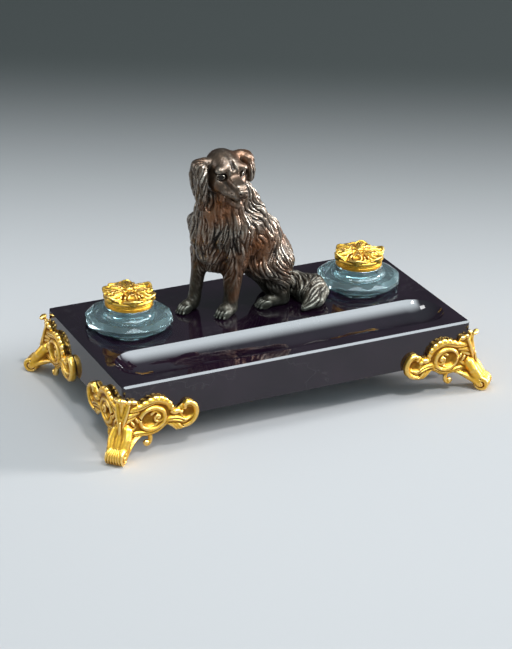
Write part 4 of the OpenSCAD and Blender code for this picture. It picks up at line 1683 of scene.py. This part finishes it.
@dataclass
class Coat:
    """A coat combed over a surface, in millimetres: tufts and grooves that follow the lays."""

    lays: list[Lay]
    hairs: tuple[Hair, ...] = (Hair(5.4, 9, 0.75, False), Hair(2.3, 9, 1.9), Hair(1.25, 5, 0.5))
    pace: float = 1.25
    wander: float = 0.42
    wander_size: float = 9.0
    map_step: float = 3.0
    spare: float = 20.0
    part_mean: float = 0.72
    seed: int = 7

    def comb(self, carving: Carving, points: Array, share: Array) -> Array:
        """Moves a surface's points in and out so that the surface shows the coat.

        Args:
            carving: The solid whose surface it is.
            points: The surface's points.
            share: How strong the coat is at each, from 0 to 1.

        Returns:
            The moved points.
        """
        rng = np.random.default_rng(self.seed)
        low, high = points.min(0) - self.spare, points.max(0) + self.spare
        flow = self.flow_map(rng, low, high)
        clouds = []  # random values, one cloud of them for each size of hair
        for hair in self.hairs:
            size = np.ceil((high - low) / hair.width).astype(int) + 2
            clouds.append(rng.normal(size=size).astype(np.float32))
        slope = np.stack(np.gradient(np.clip(carving.depth, -3, 3)), axis=-1).astype(np.float32)
        normal = self.direction(sample(slope, carving.low, carving.step, points))
        sums = [sample(cloud, low, hair.width, points) for hair, cloud in zip(self.hairs, clouds)]
        # the clouds are summed along the coat's lines, up and down from each point
        for way in (-1, 1):
            place = points
            for pace in range(1, max(hair.paces for hair in self.hairs) + 1):
                out = self.direction(self.nearest(slope, carving, place))
                along = sample(flow, low, self.map_step, place)
                along = self.direction(along - out * (along * out).sum(1, keepdims=True))
                place = place + along * (way * self.pace)
                place = place - out * np.clip(self.nearest(carving.depth, carving, place), -2, 2)[:, None]
                for k, hair in enumerate(self.hairs):
                    if pace <= hair.paces:
                        weight = 0.5 + 0.5 * math.cos(math.pi * pace / (hair.paces + 1))
                        sums[k] = sums[k] + weight * sample(clouds[k], low, hair.width, place)
        height = 0
        for total, hair in zip(sums, self.hairs):
            swell = total / total.std()
            if hair.parted:
                swell = np.tanh(1.5 * np.abs(swell)) - self.part_mean
            else:
                swell = np.clip(swell, -1.6, 1.6)
            height = height + hair.depth * swell
        return points + normal * (height * share)[:, None]

    def flow_map(self, rng: np.random.Generator, low: Array, high: Array) -> Array:
        """The coat's direction over a box, with the waves that it wanders in.

        Args:
            rng: Where the waves are drawn from.
            low: Lowest corner of the box.
            high: Highest corner.

        Returns:
            A grid of directions over the box.
        """
        size = np.ceil((high - low) / self.map_step).astype(int) + 2
        cells = np.stack(np.meshgrid(*map(np.arange, size), indexing="ij"), -1).reshape(-1, 3)
        spots = low + self.map_step * cells
        places = np.array([lay.place for lay in self.lays])
        flows = self.direction(np.array([lay.flow for lay in self.lays], float))
        reach = np.array([lay.reach for lay in self.lays])
        square = ((spots[:, None, :] - places[None]) ** 2).sum(2)
        weight = np.exp(-square / (2 * reach**2)) + 1e-5 / (1 + square)
        mean = self.direction(weight @ flows)
        waves = np.ceil((high - low) / self.wander_size).astype(int) + 2
        stray = sample(rng.normal(size=(*waves, 3)).astype(np.float32), low, self.wander_size, spots)
        return self.direction(mean + self.wander * stray).reshape(*size, 3).astype(np.float32)

    def nearest(self, grid: Array, carving: Carving, points: Array) -> Array:
        """The grid's values nearest to some points."""
        cell = np.clip(np.rint((points - carving.low) / carving.step).astype(int), 0, carving.shape - 1)
        return grid[cell[:, 0], cell[:, 1], cell[:, 2]]

    def direction(self, vectors: Array) -> Array:
        """The vectors at length 1."""
        return vectors / (np.linalg.norm(vectors, axis=-1, keepdims=True) + TINY)


@dataclass
class Dog:
    """The seated long-haired dog, one bronze casting.

    Its own frame is in millimetres, with -X ahead and the origin under the seat.
    """

    seat: tuple[float, float] = (0.0, 22.25)
    body_step: float = 0.6
    head_step: float = 0.5
    quick_coarse: float = 1.5
    under_coat: float = 0.5
    midline: float = 4.5
    body_space: tuple[Point, Point] = ((-64, -40, -1.2), (72, 40, 122))
    head_space: tuple[Point, Point] = ((-62, -52, 70), (6, 22, 142))
    head_at: Point = (-28.0, -9.0, 119.5)
    head_turn: float = -87.0
    head_tilt: float = 1.0
    eye_front: Point = (13.2, 9.9, 2.7)
    head: Carving = field(init=False)
    body: Carving = field(init=False)

    def build(self, bronze: Material) -> list[Piece]:
        """Shapes the figure and dresses it.

        Args:
            bronze: The finish.

        Returns:
            Its pieces.
        """
        top = node_box("slab")[1][2]
        place = Matrix.Translation((self.seat[0], self.seat[1], top))
        coarse = 1.0
        self.head = Carving(*self.head_space, self.head_step * coarse)
        self.body = Carving(*self.body_space, self.body_step * coarse)
        self.skull()
        self.face()
        self.ears()
        self.trunk()
        self.haunches()
        self.tail()
        self.legs()
        self.body.egg(self.on_head(7, -15, -17), (8, 6, 11), self.head_frame(), 2, cut=True)
        self.body.depth += self.under_coat
        self.paws()
        pieces = []
        for name, carving, coat, share in (("dog_body", self.body, self.coat(), self.on_coat),
                                           ("dog_head", self.head, self.head_coat(), self.on_head_coat)):
            points, faces = carving.surface()
            points = coat.comb(carving, points, share(points))
            pieces.append(closed_mesh(name, points, faces, place))
        for piece in pieces:
            dress(piece, bronze)
            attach(piece, "base")
            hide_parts("dog")
        return pieces

    def trunk(self) -> None:
        """Chest, back, belly and neck."""
        self.body.run([(-25, 0, 71), (-18, 1, 87), (-27, -7, 107)], [20.5, 19, 15.5])
        self.body.run([(-15, 0, 72), (6, 2, 58), (17, 5, 38)], [21.5, 20.4, 20.5], 5)
        self.body.run([(-14, 0, 70), (-5, 1, 76), (-7, 1, 88), (-22, -4, 106)], [21.5, 19, 14.5, 13], 5)
        self.body.run([(17, 5, 37), (26, 6, 12)], [20.5, 12], 5)
        self.body.run([(-33, -2, 86), (-37, -2, 66), (-38, -5, 50), (-38, -6, 40)], [15, 14, 8, 3.6], 4)
        self.body.run([(-19, -9, 70), (-18, -11, 45)], [15.5, 8.6], 4)
        self.body.run([(-30, 1, 60), (-26, 2, 43.5), (-12, 3, 39)], [14, 12.5, 14.5], 5)
        self.body.run([(-35, 11, 68), (-37, 10, 46)], [14, 6.2], 4)

    def haunches(self) -> None:
        """Thighs and hocks of both hind legs."""
        for y in (-8, 18):
            self.body.run([(21, y, 38), (9, y - 1, 36)], [14.8, 12.5], 4)
            self.body.run([(21, y, 30), (25, y - 1, 9)], [12.5, 7.6], 4)

    def tail(self) -> None:
        """The bushy tail, curled forward round the left side."""
        self.body.run([(33, 8, 9), (45, 3, 9.4), (53.6, -7, 9.2), (53.6, -17, 8.4), (47, -26, 6.0),
                       (35, -31, 3.2)],
                      [9.5, 10.6, 10.6, 9.8, 7.6, 3.4], 4)
        self.body.egg((47, -11, 6), (10, 14, 9.5), None, 5)

    def legs(self) -> None:
        """The fore legs, which run up into the coat, and the hind feet."""
        self.body.run([(-37, 10, 50), (-38.5, 9.6, 36), (-40, 10, 28), (-42, 9.6, 14), (-43, 9.2, 9)],
                      [9.0, 7.6, 6.2, 5.6, 6.0], 5)
        self.body.run([(-18, -11, 52), (-19, -11, 32), (-20, -11, 15), (-20.8, -11, 9)],
                      [11.0, 8.2, 6.5, 6.4], 5)
        for y in (-8, 18):
            self.body.run([(25, y - 1, 10), (26.5, y - 2, 5.5)], [7.5, 6.6], 2)

    def paws(self) -> None:
        """The four paws."""
        self.paw((-44, 8.6), (-55.5, 3.4), 5.4)
        self.paw((-21.2, -11.4), (-30.6, -16.6), 6.2)
        self.paw((24, -10.2), (7.5, -11.4), 5.8)
        self.paw((33, 15.8), (28, 15.0), 5.6)

    def paw(self, heel: Point, tip: Point, half: float) -> None:
        """One paw with four toes and claws.

        Args:
            heel: Plan of the heel.
            tip: Plan of the middle of the toes.
            half: Half the paw's width.
        """
        heel, tip = np.array(heel, float), np.array(tip, float)
        ahead = (tip - heel) / np.linalg.norm(tip - heel)
        aside = np.array([-ahead[1], ahead[0]])
        yaw = math.degrees(math.atan2(ahead[1], ahead[0]))
        self.body.run([(*heel, 5.0), (*(heel + (tip - heel) * 0.6), 4.9)], [half * 0.95, half * 0.92], 1.5)
        for offset in (-1.5, -0.5, 0.5, 1.5):
            middle = 1 - abs(offset) / 1.5
            knuckle = tip + aside * offset * half * 0.48 + ahead * (middle * 2.0 - 1.6)
            turn = turn_matrix(yaw - offset * 7, 16)
            self.body.egg((*knuckle, 3.4), (5.2, half * 0.26, 3.5), turn, 0.3)
            claw = knuckle + ahead * 4.6
            self.body.egg((*claw, 1.9), (1.9, 0.8, 1.0), turn_matrix(yaw, 30), 0.2)

    def head_frame(self) -> Array:
        """Axes of the head: X to the nose, Y to the left ear."""
        return turn_matrix(self.head_turn, self.head_tilt)

    def on_head(self, x: float, y: float, z: float) -> Array:
        """A place given in the head's frame."""
        return np.array(self.head_at) + self.head_frame() @ np.array([x, y, z], float)

    def head_egg(self, centre: Point, radii: Point, blend: float = 0.0, cut: bool = False,
                 turn: Point = (0, 0, 0)) -> None:
        """Adds or cuts an egg given in the head's frame."""
        self.head.egg(self.on_head(*centre), radii, self.head_frame() @ turn_matrix(*turn), blend, cut)

    def head_run(self, places: Sequence[Point], radii: Sequence[float], blend: float = 0.0,
                 cut: bool = False) -> None:
        """Adds or cuts a bar given in the head's frame."""
        self.head.run([self.on_head(*p) for p in places], radii, blend, cut)

    def head_brick(self, centre: Point, half: Point, round_over: float, blend: float = 0.0,
                   pitch: float = 0.0) -> None:
        """Adds a rounded block given in the head's frame, its front end lowered by an angle."""
        turn = self.head_frame() @ turn_matrix(0, pitch)
        self.head.brick(self.on_head(*centre), half, round_over, turn, blend)

    def skull(self) -> None:
        """Domed skull, brows, cheeks and the nape."""
        self.head_egg((-3, 0, 2.6), (16.5, 14.0, 15.6))
        self.head_egg((5.5, 0, 5.0), (10.5, 11.6, 9.6), 4)
        self.head_run([(-8, 0, -8), (-14, 0, -20)], [13, 12.5], 4)
        for side in (-1, 1):
            self.head_egg((4, side * 10.0, -4.6), (9.5, 5.6, 7.6), 4)
            brow = (-side * 26, 0, -side * 12)
            self.head_egg((10.4, side * 7.8, 7.8), (4.8, 6.4, 3.6), 1.8, turn=brow)
        self.head_run([(3, 0, 18.6), (10, 0, 15.0), (14.6, 0, 9.0)], [0.9, 1.3, 1.6], 2.2, cut=True)

    def face(self) -> None:
        """Muzzle, nose, lips, jaw and eyes."""
        self.head_run([(8, 0, -0.6), (18, 0, -4.6), (27, 0, -6.2)], [8.0, 6.2, 5.0], 3)
        self.head_brick((17.5, 0, -3.2), (11.0, 4.8, 5.2), 2.4, 3.0, 11)
        for side in (-1, 1):
            self.head_run([(9, side * 6.6, -6.4), (18, side * 5.4, -8.6), (27, side * 3.4, -8.6)], [6.2,
                                                                                                    4.4,
                                                                                                    3.4],
                          1.6)
        self.head_run([(4, 0, -12.6), (14, 0, -16.4), (23.4, 0, -17.2)], [8.0, 5.4, 3.9], 1.5)
        self.head_egg((21.4, 0, -13.4), (12.4, 9.2, 1.25), 0.4, cut=True, turn=(0, 4, 0))
        self.head_egg((22.0, 0, -14.4), (4.6, 2.8, 1.0), 0.4)
        self.head_brick((30.4, 0, -5.4), (2.2, 3.9, 2.8), 1.9, 0.9, 14)
        self.head_run([(32.8, 0, -6.6), (31.8, 0, -11.2)], [0.45, 0.45], 0.3, cut=True)
        for side in (-1, 1):
            self.head_egg((32.3, side * 2.7, -5.8), (1.3, 0.9, 0.9), 0.3, cut=True)
            self.eye(side)
            for k in range(3):
                pore = (23.0 + 2.2 * k, side * 6.7, -7.4 + 0.5 * k)
                self.head_egg(pore, (0.5, 0.6, 0.5), 0.2, cut=True)

    def eye_middles(self) -> list[Array]:
        """Finds the fronts of both eyes' balls.

        Returns:
            Their places, in metres.
        """
        seat = np.array([*self.seat, node_box("slab")[1][2]])
        x, y, z = self.eye_front
        return [(self.on_head(x, side * y, z) + seat) * MM for side in (1, -1)]

    def eye(self, side: int) -> None:
        """One eye: socket, ball, lids, pupil and the fold that runs up to the brow.

        Args:
            side: 1 on the left, -1 on the right.
        """
        self.head_egg((13.8, side * 9.8, 2.8), (3.6, 4.6, 3.4), 1.4, cut=True)
        self.head_egg((11.0, side * 8.6, 2.6), (2.9, 2.9, 2.8), 0.1)
        ahead = np.array([0.78, side * 0.62, 0.06])
        across = np.array([-0.62 * side, 0.78, 0.0])
        up = np.array([0.0, 0.12, 1.0])
        middle = np.array([11.2, side * 8.7, 2.6]) + ahead * 2.2
        ring = []
        for k in range(13):
            angle = 2 * math.pi * k / 12
            rise = up * 1.7 * math.sin(angle) * (1.1 if k < 7 else 0.9)
            ring.append(middle + across * 3.2 * math.cos(angle) + rise)
        upper = [0.6 if 0 < k < 6 else 0.42 for k in range(13)]
        self.head_run(ring, upper, 0.8)
        self.head_egg(tuple(middle + ahead * 0.95), (0.6, 0.8, 0.8), 0.1, cut=True)
        self.head_run([(14.6, side * 3.6, 1.0), (15.4, side * 3.4, 4.4), (14.2, side * 3.4, 8.0)], [0.7,
                                                                                                    1.1,
                                                                                                    0.9],
                      0.9)

    def ears(self) -> None:
        """Two long hanging ears, the right one reaching down to the mane."""
        self.ear(1, -8.0, 10.2)
        self.ear(-1, -31.0, 8.4)

    def ear(self, side: int, bottom: float, top: float) -> None:
        """One ear: a root that stands out level from the skull, and a broad hanging flap.

        Args:
            side: 1 on the left, -1 on the right.
            bottom: Height of its tip in the head's frame.
            top: Height of the root's middle line.
        """
        root = [(-4, side * 9, top - 1.4), (-4, side * 15.5, top), (-3.5, side * 20.8, top - 1.6)]
        self.head_run(root, [6.0, 5.2, 5.0], 2.0)
        wide = 21.4 if side < 0 else 19.8
        for along in (-7.5, -3.0, 1.5, 6.0):
            middle = 1 - abs(along + 1.0) / 16
            hang = side * (19.4 if side < 0 else 18.4)
            strand = [(along * 0.6 - 2, side * 20.2, top - 1.8), (along, side * (wide + 1), top - 9),
                      (along * 1.05, side * wide, top - 15), (along * 0.75, hang, bottom * middle)]
            self.head_run(strand, [4.6, 3.8, 3.4, 2.6], 2.6)

    def on_head_coat(self, points: Array) -> Array:
        """How strong the coat is on the head: full on ears and nape, hardly any on the face.

        Args:
            points: N by 3 points of the head's surface.

        Returns:
            N shares from 0 to 1.
        """
        own = (points - np.array(self.head_at)) @ self.head_frame()
        ahead, aside, up = own[:, 0], np.abs(own[:, 1]), own[:, 2]
        ears = np.clip((aside - 15.5) / 3, 0, 1) * np.clip((13 - up) / 8, 0.25, 1)
        nape = np.clip((-7 - ahead) / 5, 0, 1) * np.clip((12 - up) / 6, 0.1, 1)
        throat = np.clip((-8 - up) / 5, 0, 1) * np.clip((10 - ahead) / 6, 0, 1)
        return np.maximum(np.maximum(ears, nape), np.maximum(throat, 0.07))

    def lay_on_head(self, place: Point, flow: Point, reach: float) -> Lay:
        """A lay whose place and direction are given in the head's frame."""
        turned = self.head_frame() @ np.array(flow, float)
        return Lay(tuple(self.on_head(*place)), tuple(turned), reach)

    def head_coat(self) -> Coat:
        """Long wavy locks on the ears, and shorter ones on nape and throat.

        Returns:
            The coat.
        """
        lays = []
        for side in (-1, 1):
            lays += [
                self.lay_on_head((2, side * 24, 0), (0.12, 0.1 * side, -1), 6),
                self.lay_on_head((0, side * 24, -14), (0.05, -0.05 * side, -1), 7),
                self.lay_on_head((6, side * 19, -4), (0.1, 0, -1), 5),
                self.lay_on_head((-9, side * 19, -4), (-0.15, 0, -1), 6),
                self.lay_on_head((-2, side * 18, 10), (-0.1, 0.8 * side, -0.5), 4),
                self.lay_on_head((2, side * 11, -14), (-0.4, 0, -1), 5),
            ]
        lays.append(self.lay_on_head((-17, 0, 6), (-0.5, 0, -1), 8))
        lays.append(self.lay_on_head((-20, 0, -10), (-0.2, 0, -1), 8))
        lays.append(self.lay_on_head((10, 0, -20), (-0.5, 0, -1), 6))
        return Coat(lays, (Hair(4.4, 8, 0.5, False), Hair(1.9, 9, 1.4), Hair(1.1, 5, 0.4)), seed=21)

    def on_coat(self, points: Array) -> Array:
        """How strong the coat is on the body: least on the paws, the hocks and the fore legs.

        Args:
            points: N by 3 points of the body's surface.

        Returns:
            N shares from 0 to 1.
        """
        x, y, z = points.T
        fore = np.clip((-8 - x) / 4, 0, 1)
        bare_right = fore * np.clip((y - 1) / 4, 0, 1) * np.clip((47 - z) / 8, 0, 0.9)
        bare_left = fore * np.clip((3 - y) / 4, 0, 1) * np.clip((44 - z) / 34, 0, 0.9)
        hock = np.clip((32 - x) / 5, 0, 1) * np.clip((17 - z) / 6, 0, 0.9)
        sole = np.clip((z - 0.8) / 3, 0, 1)
        return sole * (1 - np.maximum(np.maximum(bare_right, bare_left), hock))

    def coat(self) -> Coat:
        """The coat of mane, chest, back, haunches and tail.

        Returns:
            The coat.
        """
        left = [
            Lay((-12, -22, 98), (0.30, -0.1, -1)),
            Lay((-26, -26, 78), (-0.20, -0.1, -1), 8),
            Lay((-14, -26, 84), (0.35, 0, -0.9), 7),
            Lay((-3, -24, 82), (0.75, 0.1, -0.6), 6),
            Lay((1, -23, 72), (0.1, 0.1, -1), 5),
            Lay((-8, -25, 68), (-0.7, 0, -0.6), 5),
            Lay((-20, -25, 62), (0.1, 0.1, -1), 6),
            Lay((-14, -21, 50), (0.15, 0.1, -1), 7),
            Lay((-5, -19, 58), (0.5, 0, -0.8), 6),
            Lay((4, -18, 60), (0.5, 0, -0.9), 6),
            Lay((12, -16, 70), (0.65, -0.1, -0.75), 7),
            Lay((24, -18, 54), (-0.25, -0.4, -0.9), 6),
            Lay((12, -22, 50), (-0.75, 0, -0.65), 6),
            Lay((2, -20, 44), (-0.25, 0, -1), 5),
            Lay((0, -17, 34), (0.45, 0, -0.9), 5),
            Lay((8, -21, 27), (0.9, 0, -0.45), 6),
            Lay((18, -23, 36), (0.75, 0, -0.65), 6),
            Lay((31, -18, 38), (0.35, 0.1, -0.95), 7),
            Lay((20, -20, 21), (0.75, 0, -0.75), 6),
            Lay((30, -14, 16), (0.35, 0.1, -1), 6),
        ]
        middle = [
            Lay((-30, -24, 100), (0, -0.2, -1)),
            Lay((-48, -6, 86), (0.08, -0.05, -1)),
            Lay((-46, -10, 70), (0.15, 0.1, -1), 8),
            Lay((-43, -6, 55), (0.22, 0, -1), 7),
            Lay((-30, -14, 58), (-0.4, 0.3, -1), 7),
            Lay((-20, -18, 34), (0.05, 0.1, -1), 6),
            Lay((-38, 17, 55), (0, 0.1, -1), 6),
            Lay((-28, 9, 122), (0.3, 0.5, -0.9)),
            Lay((-8, 0, 108), (0.65, 0, -0.75)),
            Lay((8, 2, 90), (0.55, 0, -0.85)),
            Lay((24, 4, 62), (0.55, 0, -0.8)),
            Lay((38, 5, 34), (0.30, 0, -0.95)),
            Lay((-2, 0, 30), (0.2, 0, -1)),
            Lay((42, 6, 18), (0.6, -0.5, -0.6), 6),
            Lay((54, 2, 16), (0.3, -0.7, -0.7), 6),
            Lay((64, -10, 10), (-0.3, -0.7, -0.7), 6),
            Lay((57, -22, 10), (-0.75, -0.3, -0.6), 6),
            Lay((48, -12, 15), (-0.5, -0.6, -0.5), 6),
            Lay((46, -28, 6), (-0.9, -0.2, -0.4), 5),
        ]
        return Coat(left + across_body(left, self.midline) + middle)


# ---------------- assembly


def main() -> None:
    """Builds, dresses and logs every piece."""
    logging.basicConfig(level=logging.INFO, format="%(name)s: %(message)s")
    Studio().build()
    stone, gilt, glass = StoneFinish().build(), GiltFinish().build(), GlassFinish().build()
    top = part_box("slab")[1].z
    bronze = BronzeFinish().build(top, Dog().eye_middles())
    steel = TurnedMetalFinish("turned_steel", (0.62, 0.62, 0.60), (0.35, 0.34, 0.33)).build()
    brass = TurnedMetalFinish("turned_brass", (0.72, 0.50, 0.20), (0.42, 0.28, 0.11)).build()
    cement = CementFinish().build()
    # A darker copy of the gilt for the lids: painted shade that tones down the strong light on them.
    shaded_gilt_for_lids = GiltFinish(body=(0.67, 0.405, 0.055), crown=(0.77, 0.53, 0.21), name="gilt_brass_lid").build()
    slots = {"marble": stone, "gilt": gilt, "glass": glass, "bronze": bronze, "steel": steel,
             "brass_plain": brass, "cement": cement}
    for part in frame["record"]["subparts"]:
        dress(frame["nodes"][part["node"]], slots[part["material_slot"]])
    pieces = Feet().build(gilt) + Dog().build(bronze)
    for side, phase, turn in ((Side.LEFT, 18.0, 0.0), (Side.RIGHT, -4.0, 15.0)):
        pieces.append(Lid(side, first_leaf=phase).build(shaded_gilt_for_lids))
        pieces.append(Inkwell(side, turn).build(glass))
    for piece in pieces:
        LOG.info("%s: %d faces", piece.name, len(piece.data.polygons))


if __name__ == "__main__":
    main()
